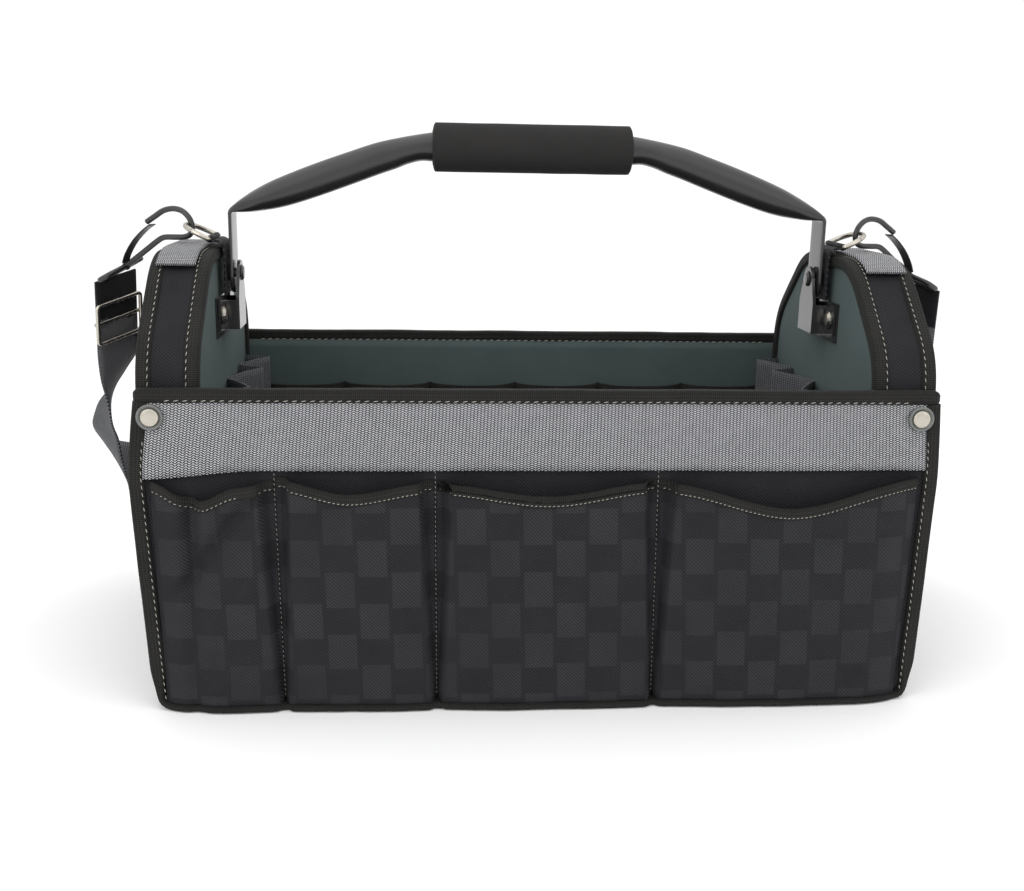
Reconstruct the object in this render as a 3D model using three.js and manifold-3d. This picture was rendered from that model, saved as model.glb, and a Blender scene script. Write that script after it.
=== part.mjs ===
// Open-top tool tote with a folding steel pipe handle and a clip-on shoulder strap.
// Millimetres, +Z up. The origin is under the middle of the bag, on the surface that it stands on.
// -Y is the rear face, +X is the right-hand end seen from the rear. The bag is built for its rear wall and
// its right-hand end, and the front wall and the left-hand end are made by the same functions.
import * as THREE from "three";
import { mergeVertices } from "three/addons/utils/BufferGeometryUtils.js";
import Module from "manifold-3d";

const wasm = await Module();
wasm.setup();

// ---- Driving dimensions -------------------------------------------------------------------------------
const bagWidth = 462; // over both ends
const rimDepth = 222; // over both walls, at the rim
const rimHeight = 188.5; // top of the walls
const wallLean = 7; // how much further out a wall is at the floor than at the rim
const wallThickness = 5;
const baseThickness = 4;
const bindingHeight = 8; // of the tape folded over a wall's top
const bindingWidth = 8.5; // of the tape down a wall's edges
const bindingProud = 2; // how far a binding stands in front of the wall
const bandWidth = 37.7; // webbing band under the rim
const webbingThickness = 1.5;
const clothThickness = 1.2;
const gap = 0.3; // between pieces that touch

const crestRise = 51.5; // crest of an end box above its shoulder
const endThickness = 38; // each end box, inner binding to outer binding
const shoulderRise = 17; // where an end box starts to slope in, above the rim
const crestWidth = 93; // between the two upper bends of an end box
const endBindingWidth = 9;
const endBindingDepth = 7;
const panelThickness = 3;
const panelSetBack = 2.5; // of the inner panel behind its binding
const gussetThickness = 2.5;
const gussetSetBack = 1.5; // of the gusset under its bindings

const pocketDividers = [-152, -61.5, 67]; // seams between the four outer pockets
const pocketDrop = 57.5; // mouths of the outer pockets below the rim
const pocketBulges = [10, 10, 12, 12];
const snapRadius = 7.6;
const snapInset = 12; // from the bag's end to a snap's middle

const innerPocketMargin = 5.5; // between the inner row and an end box
const innerPocketCount = 6;
const innerPocketDrop = 38.5; // below the rim
const innerPocketHeight = 50;
const innerPocketBulge = 9;

const loopDrop = 16.5; // top of the inner webbing loops below the rim
const loopWebbing = 38;
const loopReach = 17;
const loopPitch = 45;
const loopLead = 16; // from a loop's front seam to its peak
const loopCount = 4;
const loopWebbingThickness = 2;

const tapeInset = 6.5; // end box's faces to the webbing over its crest
const tapeSpan = 116;

const pivotDrop = 16; // handle pivot below the crest
const tubeDiameter = 19;
const gripDiameter = 30;
const gripLength = 125;
const gripRise = 79; // middle of the grip above the pivot
const legWidth = 25;
const legThickness = 2.5;
const legStandOff = 4.9; // end box's inner face to a leg's outer face
const legLength = 38.3; // pivot to where the pipe meets its flattened legs
const foldRunIn = 148; // where the pipe starts to flatten

const bridgeThickness = 2;
const bridgeStandOff = 1.3; // bracket's bridge to the leg
const bracketWidth = 28;
const bracketDrop = 34; // bottom of a bracket below the pivot
const bracketHeight = 20;
const webHeight = 18;
const flangeWidth = 14;
const sheetThickness = 1.6; // bracket flanges, webs and back plate
const plateLength = 58;
const plateHeight = 25;
const screwSpread = 21;
const screwRadius = 2;
const screwHeadRadius = 6;
const rivetRadius = 3;
const rivetHeadRadius = 5;

const ringWire = 1.6; // radius
const ringInnerWidth = 30.8;
const ringReach = 18;
const ringTilt = 25; // degrees above level
const ringPivotInset = 6; // end box's inner face to the ring's bar
const tabWidth = 30;

const hookWire = 1.8; // radius
const hookYaw = 24.5; // degrees towards the front
const hookRoll = 12; // degrees
const hookLoopWidth = 40;
const hookLoopLength = 10;
const leafWidth = 7;
const leafThickness = 0.8;

const strapWidth = 37;
const sliderHeight = 29;
const sliderRail = 2.4;
const strapStandOff = 35.84; // strap's middle line to the front wall at the rim
const hookOverhang = 19.312; // hook's own run over the end box, past the ring
const hookBend = 13; // length of the hook's bend in the ring, which is always the same

// ---- Worked out from them ----------------------------------------------------------------------------
const shoulderHeight = rimHeight + shoulderRise;
const endHeight = shoulderHeight + crestRise;
const pivotHeight = endHeight - pivotDrop;
const gripHeight = pivotHeight + gripRise;
const cornerHeight = pivotHeight + legLength;
const bracketBottom = pivotHeight - bracketDrop;
const pocketHeight = rimHeight - pocketDrop;
const innerPocketTop = rimHeight - innerPocketDrop;
const loopTop = rimHeight - loopDrop;
const tapeWidth = endThickness - 2 * tapeInset;
const wallFace = -rimDepth / 2;
const wallBack = wallFace + wallThickness;
const endHalfDepth = -wallBack - 0.5;
const endInner = bagWidth / 2 - endThickness;
const innerPocketPitch = (2 * (endInner - innerPocketMargin)) / innerPocketCount;
const panelFace = endInner + panelSetBack;
const legOuter = endInner - legStandOff;
const legInner = legOuter - legThickness;
const bridgeOuter = legInner - bridgeStandOff;
const bridgeInner = bridgeOuter - bridgeThickness;
const plateFace = panelFace - gap - sheetThickness;
const flangeFace = plateFace - gap - sheetThickness;
const tapeTop = endHeight + gap + webbingThickness;
const tabTop = tapeTop + gap + webbingThickness;
const ringEye = ringWire + 0.4; // hole in the tab that the ring's bar turns in
const ringPivot = new THREE.Vector3(endInner + ringPivotInset, 0, tabTop + ringEye + 0.1);
const screwHeight = bracketBottom + bracketHeight / 2;

// ---- Helpers ------------------------------------------------------------------------------------------
const ALONG_X = new THREE.Matrix4().makeBasis(
  new THREE.Vector3(0, 1, 0),
  new THREE.Vector3(0, 0, 1),
  new THREE.Vector3(1, 0, 0),
);
const ALONG_Y = new THREE.Matrix4().makeBasis(
  new THREE.Vector3(-1, 0, 0),
  new THREE.Vector3(0, 0, 1),
  new THREE.Vector3(0, 1, 0),
);

function extrude(shape, low, high, segments = 6) {
  const solid = new THREE.ExtrudeGeometry(shape, {
    depth: high - low,
    bevelEnabled: false,
    curveSegments: segments,
  });
  return solid.translate(0, 0, low);
}

// A shape drawn in Y and Z, pulled along X.
function alongX(shape, low, high, segments) {
  return extrude(shape, low, high, segments).applyMatrix4(ALONG_X);
}

// A shape drawn in -X and Z, pulled along Y.
function alongY(shape, low, high, segments) {
  return extrude(shape, low, high, segments).applyMatrix4(ALONG_Y);
}

function box(x, y, z) {
  const solid = new THREE.BoxGeometry(x[1] - x[0], y[1] - y[0], z[1] - z[0]);
  return solid.translate((x[0] + x[1]) / 2, (y[0] + y[1]) / 2, (z[0] + z[1]) / 2);
}

function rodAlongX(radius, low, high, sides = 20) {
  const rod = new THREE.CylinderGeometry(radius, radius, high - low, sides);
  return rod.rotateZ(Math.PI / 2).translate((low + high) / 2, 0, 0);
}

function circle(radius) {
  const shape = new THREE.Shape();
  shape.absarc(0, 0, radius, 0, 2 * Math.PI);
  return shape;
}

function polygon(points) {
  return new THREE.Shape(points.map(([x, y]) => new THREE.Vector2(x, y)));
}

function toSolid(geometry) {
  const bare = geometry.clone();
  bare.deleteAttribute("normal");
  bare.deleteAttribute("uv");
  const merged = mergeVertices(bare, 1e-3);
  return new wasm.Manifold(
    new wasm.Mesh({
      numProp: 3,
      vertProperties: merged.attributes.position.array,
      triVerts: new Uint32Array(merged.index.array),
    }),
  );
}

function toGeometry(solid) {
  const mesh = solid.getMesh();
  const geometry = new THREE.BufferGeometry();
  geometry.setAttribute("position", new THREE.BufferAttribute(mesh.vertProperties, 3));
  geometry.setIndex(new THREE.BufferAttribute(mesh.triVerts, 1));
  return geometry;
}

function join(...geometries) {
  return toGeometry(geometries.map(toSolid).reduce((a, b) => a.add(b)));
}

function cut(geometry, ...tools) {
  return toGeometry(tools.map(toSolid).reduce((a, b) => a.subtract(b), toSolid(geometry)));
}

function common(geometry, other) {
  return toGeometry(toSolid(geometry).intersect(toSolid(other)));
}

// A wire or tube of the given radius along a curve.
function tube(curve, radius, steps, sides = 8) {
  const section = new THREE.Shape();
  for (let i = 0; i < sides; i++) {
    const angle = (2 * Math.PI * i) / sides;
    const x = radius * Math.cos(angle);
    const y = radius * Math.sin(angle);
    if (i === 0) section.moveTo(x, y);
    else section.lineTo(x, y);
  }
  section.closePath();
  return new THREE.ExtrudeGeometry(section, { steps, extrudePath: curve, bevelEnabled: false });
}

// ---- Finishes -----------------------------------------------------------------------------------------
function finish(colour, roughness, metalness) {
  return { color: new THREE.Color(colour), roughness, metalness };
}

const FINISHES = {
  cloth: finish("#26272c", 0.9, 0),
  binding: finish("#22201d", 0.85, 0),
  webbing: finish("#83868c", 0.8, 0),
  lining: finish("#3d5253", 0.85, 0),
  foam: finish("#33302e", 0.95, 0),
  black_steel: finish("#1d1c1e", 0.35, 0.3),
  nickel: finish("#b9b3a6", 0.3, 0.9),
};

function node(name, geometry, finishName) {
  const mesh = new THREE.Mesh(geometry, new THREE.MeshStandardMaterial(FINISHES[finishName]));
  mesh.name = name;
  return mesh;
}

// ---- Walls, drawn upright and then leaned -------------------------------------------------------------
function wallPanel() {
  const halfWidth = bagWidth / 2 - bindingWidth - gap;
  const top = rimHeight - bindingHeight - gap;
  return box([-halfWidth, halfWidth], [wallFace, wallBack], [baseThickness + gap, top]);
}

// The tape folded over a wall's top, rounded along both upper edges.
function rimBinding() {
  const front = wallFace - bindingProud;
  const bottom = rimHeight - bindingHeight;
  const round = 3;
  const section = new THREE.Shape();
  section.moveTo(front, bottom);
  section.lineTo(wallBack, bottom);
  section.lineTo(wallBack, rimHeight - round);
  section.quadraticCurveTo(wallBack, rimHeight, wallBack - round, rimHeight);
  section.lineTo(front + round, rimHeight);
  section.quadraticCurveTo(front, rimHeight, front, rimHeight - round);
  return alongX(section, -bagWidth / 2, bagWidth / 2, 3);
}

// The tape down both edges of a wall and under it, with rounded lower corners.
function edgeBinding() {
  const outer = bagWidth / 2;
  const inner = outer - bindingWidth;
  const top = rimHeight - bindingHeight - gap;
  const outerRound = 16;
  const innerRound = outerRound - bindingWidth;
  const shape = new THREE.Shape();
  shape.moveTo(-outer, top);
  shape.lineTo(-outer, outerRound);
  shape.quadraticCurveTo(-outer, 0, -outer + outerRound, 0);
  shape.lineTo(outer - outerRound, 0);
  shape.quadraticCurveTo(outer, 0, outer, outerRound);
  shape.lineTo(outer, top);
  shape.lineTo(inner, top);
  shape.lineTo(inner, baseThickness + innerRound);
  shape.lineTo(inner, baseThickness);
  shape.lineTo(-inner, baseThickness);
  shape.lineTo(-inner, top);
  return alongY(shape, wallFace - bindingProud, wallBack, 4);
}

function webbingBand() {
  const halfWidth = bagWidth / 2 - bindingWidth - gap;
  const top = rimHeight - bindingHeight - gap;
  const front = wallFace - gap - webbingThickness;
  return box([-halfWidth, halfWidth], [front, wallFace - gap], [top - bandWidth, top]);
}

// A flanged press stud: an outer ring, a groove and a raised middle disc, with its face towards -Y.
function snap() {
  const face = [
    [0, 0],
    [snapRadius, 0],
    [snapRadius, 1.2],
    [snapRadius - 1.2, 2.2],
    [snapRadius - 2.2, 1.4],
    [4.8, 1.4],
    [4.6, 2.4],
    [0, 2.4],
  ];
  const turned = new THREE.LatheGeometry(face.map(([x, y]) => new THREE.Vector2(x, y)), 16);
  return turned.rotateX(Math.PI);
}

// The plan of an outer pocket: a curve that bulges out from the wall between two seams.
function pocketPlan(left, right, back, bulge) {
  const shape = new THREE.Shape();
  const lead = (right - left) * 0.08;
  const pull = (-4 / 3) * bulge;
  const face = wallFace - gap;
  shape.moveTo(left, back);
  shape.lineTo(left, face);
  shape.bezierCurveTo(left + lead, face + pull, right - lead, face + pull, right, face);
  shape.lineTo(right, back);
  return shape;
}

function outerPocket(left, right, bulge) {
  const low = baseThickness + gap;
  const face = wallFace - gap;
  const whole = extrude(pocketPlan(left, right, face + 0.01, bulge), low, pocketHeight, 10);
  const inside = pocketPlan(left + clothThickness, right - clothThickness, face + 2, bulge - clothThickness);
  return cut(whole, extrude(inside, low + clothThickness, pocketHeight + 5, 10));
}

// The plan of a row of small pockets inside a wall, from the wall out to the cloth between its seams.
function pocketRowPlan(back, level) {
  const halfWidth = (innerPocketPitch * innerPocketCount) / 2;
  const rise = level + (4 / 3) * innerPocketBulge;
  const lead = innerPocketPitch * 0.15;
  const shape = new THREE.Shape();
  shape.moveTo(halfWidth, back);
  shape.lineTo(-halfWidth, back);
  shape.lineTo(-halfWidth, level);
  for (let i = 0; i < innerPocketCount; i++) {
    const from = -halfWidth + i * innerPocketPitch;
    const to = from + innerPocketPitch;
    shape.bezierCurveTo(from + lead, rise, to - lead, rise, to, level);
  }
  return shape;
}

function innerPockets() {
  const near = wallBack + gap;
  const low = innerPocketTop - innerPocketHeight;
  const whole = extrude(pocketRowPlan(near, near + clothThickness), low, innerPocketTop, 5);
  const inside = extrude(pocketRowPlan(near - 1, near), low + clothThickness, innerPocketTop + 5, 5);
  return cut(whole, inside);
}

// One wall with everything sewn to it. The shear leans it outwards towards the floor.
function wall(side) {
  const group = new THREE.Group();
  group.add(node(side + "_wall", wallPanel(), "cloth"));
  group.add(node(side + "_rim_binding", rimBinding(), "binding"));
  group.add(node(side + "_edge_binding", edgeBinding(), "binding"));
  group.add(node(side + "_band", webbingBand(), "webbing"));
  const edge = bagWidth / 2 - bindingWidth - gap;
  const seams = [-edge, ...pocketDividers, edge];
  for (let i = 0; i < pocketBulges.length; i++) {
    const left = seams[i] + gap;
    const right = seams[i + 1] - gap;
    const name = side + "_pocket_" + (i + 1);
    group.add(node(name, outerPocket(left, right, pocketBulges[i]), "cloth"));
  }
  for (const [end, sign] of [["left", -1], ["right", 1]]) {
    const stud = node(side + "_snap_" + end, snap(), "nickel");
    const height = rimHeight - bindingHeight - snapRadius;
    stud.position.set(sign * (bagWidth / 2 - snapInset), wallFace - bindingProud - gap, height);
    group.add(stud);
  }
  const leaning = new THREE.Matrix4().set(
    1, 0, 0, 0,
    0, 1, wallLean / rimHeight, -wallLean,
    0, 0, 1, 0,
    0, 0, 0, 1,
  );
  group.matrixAutoUpdate = false;
  group.matrix.copy(leaning);
  return group;
}

// ---- End boxes, built for the right-hand end ----------------------------------------------------------
// The outline of an end box in Y and Z, moved inwards by an inset: sides that follow the walls' lean, sloping
// shoulders and a level crest, with both bends rounded.
function endOutline(inset, bottom) {
  const slope = new THREE.Vector2(crestWidth / 2 - endHalfDepth, endHeight - shoulderHeight);
  const normal = new THREE.Vector2(slope.y, -slope.x).normalize();
  const reach = normal.x * endHalfDepth + normal.y * shoulderHeight - inset;
  const side = endHalfDepth - inset;
  const crest = endHeight - inset;
  const low = new THREE.Vector2(side, (reach - normal.x * side) / normal.y);
  const high = new THREE.Vector2((reach - normal.y * crest) / normal.x, crest);
  const along = slope.clone().normalize();
  const lowRound = 17;
  const highRound = 20;
  const points = [
    [low.x, low.y - lowRound, low.x, low.y, low.x + along.x * lowRound, low.y + along.y * lowRound],
    [high.x - along.x * highRound, high.y - along.y * highRound, high.x, high.y, high.x - highRound, high.y],
  ];
  const foot = side + wallLean * (1 - bottom / rimHeight);
  const shape = new THREE.Shape();
  shape.moveTo(-foot, bottom);
  shape.lineTo(foot, bottom);
  for (const [ax, ay, cx, cy, bx, by] of points) {
    shape.lineTo(ax, ay);
    shape.quadraticCurveTo(cx, cy, bx, by);
  }
  for (const [ax, ay, cx, cy, bx, by] of points.reverse()) {
    shape.lineTo(-bx, by);
    shape.quadraticCurveTo(-cx, cy, -ax, ay);
  }
  shape.closePath();
  return shape;
}

// A strip that follows the outline up one side, over the crest and down the other.
function endArch(outerInset, innerInset, low, high) {
  const bottom = baseThickness + gap;
  const whole = alongX(endOutline(outerInset, bottom), low, high, 4);
  return cut(whole, alongX(endOutline(innerInset, bottom - 10), low - 1, high + 1, 4));
}

function endPanel(low) {
  const outline = endOutline(endBindingDepth + gap, baseThickness + gap);
  return alongX(outline, low, low + panelThickness, 4);
}

function screwHoles(low, high) {
  return [-1, 1].map((sign) => {
    const hole = rodAlongX(screwRadius + gap, low, high, 12);
    return hole.translate(0, sign * screwSpread, screwHeight);
  });
}

function innerPanel() {
  const holes = screwHoles(panelFace - 1, panelFace + panelThickness + 1);
  return cut(endPanel(panelFace), ...holes);
}

// Webbing over the crest, from the rear slope to the front slope.
function crestTape() {
  const middle = (endInner + bagWidth / 2) / 2;
  const low = middle - tapeWidth / 2;
  const high = middle + tapeWidth / 2;
  const arch = endArch(-gap - webbingThickness, -gap, low, high);
  const span = box([low - 1, high + 1], [-tapeSpan / 2, tapeSpan / 2], [shoulderHeight, tapeTop + 5]);
  return common(arch, span);
}

// The webbing tab that holds a ring: up the inner panel, over the crest and round the ring's bar.
function ringTab() {
  const near = endInner - gap - webbingThickness;
  const bottom = bracketBottom - 4 + plateHeight + gap;
  const upright = box([near, endInner - gap], [-tabWidth / 2, tabWidth / 2], [bottom, tabTop]);
  const level = box([near, ringPivot.x], [-tabWidth / 2, tabWidth / 2], [tapeTop + gap, tabTop]);
  const wrap = circle(ringEye + webbingThickness);
  wrap.holes.push(circle(ringEye));
  const roll = alongY(wrap, -tabWidth / 2, tabWidth / 2, 6).translate(ringPivot.x, 0, ringPivot.z);
  return join(upright, level, roll);
}

// Webbing sewn to the end panel at even steps, with a loop that stands out between each two seams.
function toolLoops() {
  const face = panelFace - gap;
  const front = endHalfDepth - endBindingDepth - 1;
  const route = [];
  for (let i = 0; i < loopCount; i++) {
    const seam = front - i * loopPitch;
    route.push([face, seam], [face - loopReach, seam - loopLead]);
  }
  route.push([face, front - loopCount * loopPitch]);
  const standing = route.map(([x, y]) => [x - loopWebbingThickness, y]).reverse();
  return extrude(polygon([...route, ...standing]), loopTop - loopWebbing, loopTop);
}

function hingePlate() {
  const low = bracketBottom - 4;
  const plate = box(
    [plateFace, plateFace + sheetThickness],
    [-plateLength / 2, plateLength / 2],
    [low, low + plateHeight],
  );
  return cut(plate, ...screwHoles(plateFace - 1, plateFace + sheetThickness + 1));
}

// The hat-shaped bracket: two flanges on the back plate, two webs, and a bridge with a rounded tab that
// carries the pivot.
function hingeBracket() {
  const half = bracketWidth / 2;
  const top = bracketBottom + bracketHeight;
  const bridge = new THREE.Shape();
  bridge.moveTo(-half, bracketBottom);
  bridge.lineTo(half, bracketBottom);
  bridge.lineTo(half, top);
  bridge.lineTo(8, pivotHeight + 1);
  bridge.absarc(0, pivotHeight, 8, 0.1, Math.PI - 0.1);
  bridge.lineTo(-8, pivotHeight + 1);
  bridge.lineTo(-half, top);
  const pieces = [alongX(bridge, bridgeInner, bridgeOuter, 6)];
  for (const sign of [-1, 1]) {
    const web = [sign * half, sign * (half - sheetThickness)].sort((a, b) => a - b);
    const flange = [sign * (half - sheetThickness), sign * (half + flangeWidth)].sort((a, b) => a - b);
    const zs = [bracketBottom, bracketBottom + webHeight];
    pieces.push(box([bridgeInner, flangeFace + sheetThickness], web, zs));
    pieces.push(box([flangeFace, flangeFace + sheetThickness], flange, [bracketBottom, top]));
  }
  const pivotHole = rodAlongX(rivetRadius + gap, bridgeInner - 1, bridgeOuter + 1);
  const holes = screwHoles(flangeFace - 1, flangeFace + sheetThickness + 1);
  return cut(join(...pieces), pivotHole.translate(0, 0, pivotHeight), ...holes);
}

// A round part turned about X from a profile of [distance along X, radius] points.
function turnedAlongX(profile, sides) {
  const points = profile.map(([along, radius]) => new THREE.Vector2(radius, along));
  return new THREE.LatheGeometry(points, sides).rotateZ(-Math.PI / 2);
}

function hingeScrew() {
  const head = flangeFace - gap;
  const tip = panelFace + panelThickness + 0.5;
  return turnedAlongX(
    [
      [head - 2.4, 0],
      [head - 2.1, screwHeadRadius * 0.6],
      [head - 0.8, screwHeadRadius],
      [head, screwHeadRadius],
      [head, screwRadius],
      [tip, screwRadius],
      [tip, 0],
    ],
    16,
  );
}

function pivotRivet() {
  const head = bridgeInner - gap;
  const tail = legOuter + gap;
  return turnedAlongX(
    [
      [head - 1.6, 0],
      [head - 1.4, rivetHeadRadius * 0.7],
      [head - 0.4, rivetHeadRadius],
      [head, rivetHeadRadius],
      [head, rivetRadius],
      [tail, rivetRadius],
      [tail, rivetHeadRadius],
      [tail + 1.4, rivetHeadRadius],
      [tail + 1.4, 0],
    ],
    20,
  );
}

// The ring: a straight bar and a flattened bow, in a plane that tilts up from the bar.
function dRing() {
  const half = ringInnerWidth / 2 + ringWire;
  const bow = [
    [0, -half],
    [7, -half],
    [13.5, -half * 0.8],
    [17.2, -half * 0.4],
    [ringReach, 0],
    [17.2, half * 0.4],
    [13.5, half * 0.8],
    [7, half],
    [0, half],
  ];
  const curve = new THREE.CatmullRomCurve3(bow.map(([x, y]) => new THREE.Vector3(x, y, 0)));
  const bar = new THREE.CylinderGeometry(ringWire, ringWire, 2 * (half + ringWire * 0.6), 8);
  const ring = join(tube(curve, ringWire, 26), bar);
  return ring.rotateY((-ringTilt * Math.PI) / 180).translate(ringPivot.x, 0, ringPivot.z);
}

// ---- Snap hook: drawn in a plane of its own, outwards and up, from the point where it hangs in the ring
const hookReach = ringReach - ringWire - hookWire - 2 * gap;
const tilt = (ringTilt * Math.PI) / 180;
const hookOrigin = new THREE.Vector3(
  ringPivot.x + hookReach * Math.cos(tilt),
  0,
  ringPivot.z + hookReach * Math.sin(tilt),
);
const yaw = (hookYaw * Math.PI) / 180;
const outwards = new THREE.Vector3(Math.cos(yaw), Math.sin(yaw), 0);
const across = new THREE.Vector3(-Math.sin(yaw), Math.cos(yaw), 0);

const hookExtra = bagWidth / 2 - hookOrigin.x - hookOverhang; // that a thicker end box needs

function hookReachAt(out) {
  return out > hookBend ? out + hookExtra : out;
}

function onHook(out, up) {
  return hookOrigin.clone().addScaledVector(outwards, hookReachAt(out)).add(new THREE.Vector3(0, 0, up));
}

const hookFoot = onHook(51, -26.5); // middle of the strap loop's inner bar
const hookDrop = (27 * Math.PI) / 180; // the loop's own slope
const loopAxis = outwards
  .clone()
  .multiplyScalar(Math.cos(hookDrop))
  .add(new THREE.Vector3(0, 0, -Math.sin(hookDrop)));
const roll = (hookRoll * Math.PI) / 180;
const barAxis = across.clone().applyAxisAngle(loopAxis, roll);
const strapBar = hookFoot.clone().addScaledVector(loopAxis, hookLoopLength);

function hookWireCurve() {
  const route = [
    [33.6, 2],
    [27.6, 5.6],
    [20.5, 9.6],
    [13, 11],
    [6.6, 9.6],
    [1.8, 5.4],
    [0, 0],
    [1.8, -4.4],
    [6.5, -6.2],
    [14, -6.6],
    [20.5, -7],
    [25, -8.8],
    [33, -14.2],
    [42, -20.4],
    [51, -26.5],
  ];
  return new THREE.CatmullRomCurve3(route.map(([out, up]) => onHook(out, up)));
}

// The rounded loop that the strap goes round, as one wire that starts and ends inside the foot.
function hookLoopCurve() {
  const half = hookLoopWidth / 2;
  const corners = [
    [0, 0],
    [half - 3, 0],
    [half, hookLoopLength * 0.3],
    [half, hookLoopLength * 0.7],
    [half - 3, hookLoopLength],
    [0, hookLoopLength],
    [3 - half, hookLoopLength],
    [-half, hookLoopLength * 0.7],
    [-half, hookLoopLength * 0.3],
    [3 - half, 0],
    [0, 0],
  ];
  const route = new THREE.CurvePath();
  for (let i = 1; i < corners.length; i++) {
    const ends = [corners[i - 1], corners[i]].map(([w, l]) =>
      hookFoot.clone().addScaledVector(barAxis, w).addScaledVector(loopAxis, l),
    );
    route.add(new THREE.LineCurve3(ends[0], ends[1]));
  }
  return route;
}

function snapHook() {
  const foot = new THREE.SphereGeometry(hookWire * 1.5, 12, 8).translate(...hookFoot.toArray());
  return join(tube(hookWireCurve(), hookWire, 48), tube(hookLoopCurve(), hookWire, 44), foot);
}

// The flat spring that closes the hook, as a strip of even thickness along a shallow curve.
function gateLeaf() {
  const route = [
    [49.2, -20.6],
    [44.6, -14.4],
    [36.4, -6.4],
    [28.4, 0.4],
  ];
  const curve = new THREE.CatmullRomCurve3(route.map(([out, up]) => new THREE.Vector3(hookReachAt(out), up, 0)));
  const steps = 10;
  const above = [];
  const below = [];
  for (let i = 0; i <= steps; i++) {
    const at = curve.getPointAt(i / steps);
    const along = curve.getTangentAt(i / steps);
    above.push([at.x - (along.y * leafThickness) / 2, at.y + (along.x * leafThickness) / 2]);
    below.push([at.x + (along.y * leafThickness) / 2, at.y - (along.x * leafThickness) / 2]);
  }
  const strip = extrude(polygon([...above, ...below.reverse()]), -leafWidth / 2, leafWidth / 2);
  const frame = new THREE.Matrix4().makeBasis(outwards, new THREE.Vector3(0, 0, 1), across.clone().negate());
  return strip.applyMatrix4(frame).translate(...hookOrigin.toArray());
}

// ---- Strap --------------------------------------------------------------------------------------------
// Half of the strap, from the right-hand hook round behind the bag to the middle of its front face. Each
// row is a point of the middle line and the direction of the strap's width there.
const strapStart = strapBar.clone().add(new THREE.Vector3(0, 0, -hookWire - gap));
const strapRoute = [
  [0, 0, 0, -0.5, 0.85, 0.2],
  [1, 3, -14, -0.5, 0.85, 0.2],
  [2, 6, -28, -0.5, 0.85, 0.2],
  [3, 9, -42, -0.5, 0.85, 0.2],
  [4, 12, -56, -0.48, 0.86, 0.2],
  [8.5, 17.5, -72, -0.12, 0.98, 0.12],
  [13.5, 21, -88, 0.27, 0.95, 0.1],
  [17.5, 25, -101, 0.5, 0.8, 0.25],
  [19.5, 31, -117, 0.6, 0.5, 0.6],
  [18.5, 46, -133, 0.5, 0.1, 0.86],
  [14.5, 66, -145, 0.3, -0.1, 0.95],
  [2, 86, -155, 0.1, -0.15, 0.98],
  [-18, 103, -166, 0, -0.2, 0.98],
  [-46, 114, -176, 0, -0.22, 0.97],
  [-82, 120, -186, 0, -0.22, 0.97],
  [-122, 122, -194, 0, -0.22, 0.97],
  [-170, 121, -200, 0, -0.22, 0.97],
  [-232, 117, -202, 0, -0.22, 0.97],
];
const strapSpread = (rimDepth / 2 + strapStandOff - strapStart.y) / Math.max(...strapRoute.map(([, y]) => y));

function strapPoint([x, y, z]) {
  return strapStart.clone().add(new THREE.Vector3(x, y * strapSpread, z));
}

function strapHalf() {
  const points = strapRoute.map(strapPoint);
  points.push(new THREE.Vector3(gap / 2, points.at(-1).y, points.at(-1).z));
  const widths = strapRoute.map(([, , , x, y, z]) => new THREE.Vector3(x, y, z));
  widths.push(widths.at(-1).clone());
  const line = new THREE.CatmullRomCurve3(points);
  const turning = new THREE.CatmullRomCurve3(widths);
  const steps = 40;
  const half = strapWidth / 2;
  const thin = webbingThickness / 2;
  const section = polygon([
    [-half, -thin],
    [half, -thin],
    [half, thin],
    [-half, thin],
  ]);
  const flat = new THREE.ExtrudeGeometry(section, { depth: 1, steps, bevelEnabled: false });
  const places = flat.attributes.position;
  for (let i = 0; i < places.count; i++) {
    const share = places.getZ(i);
    const at = line.getPoint(share);
    const along = line.getTangent(share);
    const wide = turning.getPoint(share);
    wide.addScaledVector(along, -wide.dot(along)).normalize();
    const through = new THREE.Vector3().crossVectors(along, wide);
    at.addScaledVector(wide, places.getX(i)).addScaledVector(through, places.getY(i));
    places.setXYZ(i, at.x, at.y, at.z);
  }
  return flat;
}

// The three-bar slider: two rails and two outer bars on one side of the strap, and the middle bar on the
// other side. It is drawn with the strap's width along X and its length along Z, and then placed.
function slider() {
  const half = strapWidth / 2 + 0.8;
  const clear = webbingThickness / 2 + 2 * gap;
  const bar = sliderRail * 0.6;
  const reach = clear + bar;
  const high = sliderHeight / 2;
  const pieces = [-1, 1].flatMap((sign) => {
    const rail = [sign * half, sign * (half + sliderRail)].sort((a, b) => a - b);
    const end = [sign * high, sign * (high - sliderRail)].sort((a, b) => a - b);
    return [box(rail, [-reach, reach], [-high, high]), box([-half - 1, half + 1], [clear, reach], end)];
  });
  pieces.push(box([-half - 1, half + 1], [-reach, -clear], [-sliderRail / 2, sliderRail / 2]));
  const from = strapPoint(strapRoute[1]);
  const to = strapPoint(strapRoute[3]);
  const along = from.clone().sub(to).normalize();
  const wide = new THREE.Vector3(...strapRoute[2].slice(3));
  wide.addScaledVector(along, -wide.dot(along)).normalize();
  const through = new THREE.Vector3().crossVectors(along, wide);
  const middle = strapPoint(strapRoute[2]);
  const frame = new THREE.Matrix4().makeBasis(wide, through, along).setPosition(middle);
  return join(...pieces).applyMatrix4(frame);
}

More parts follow.
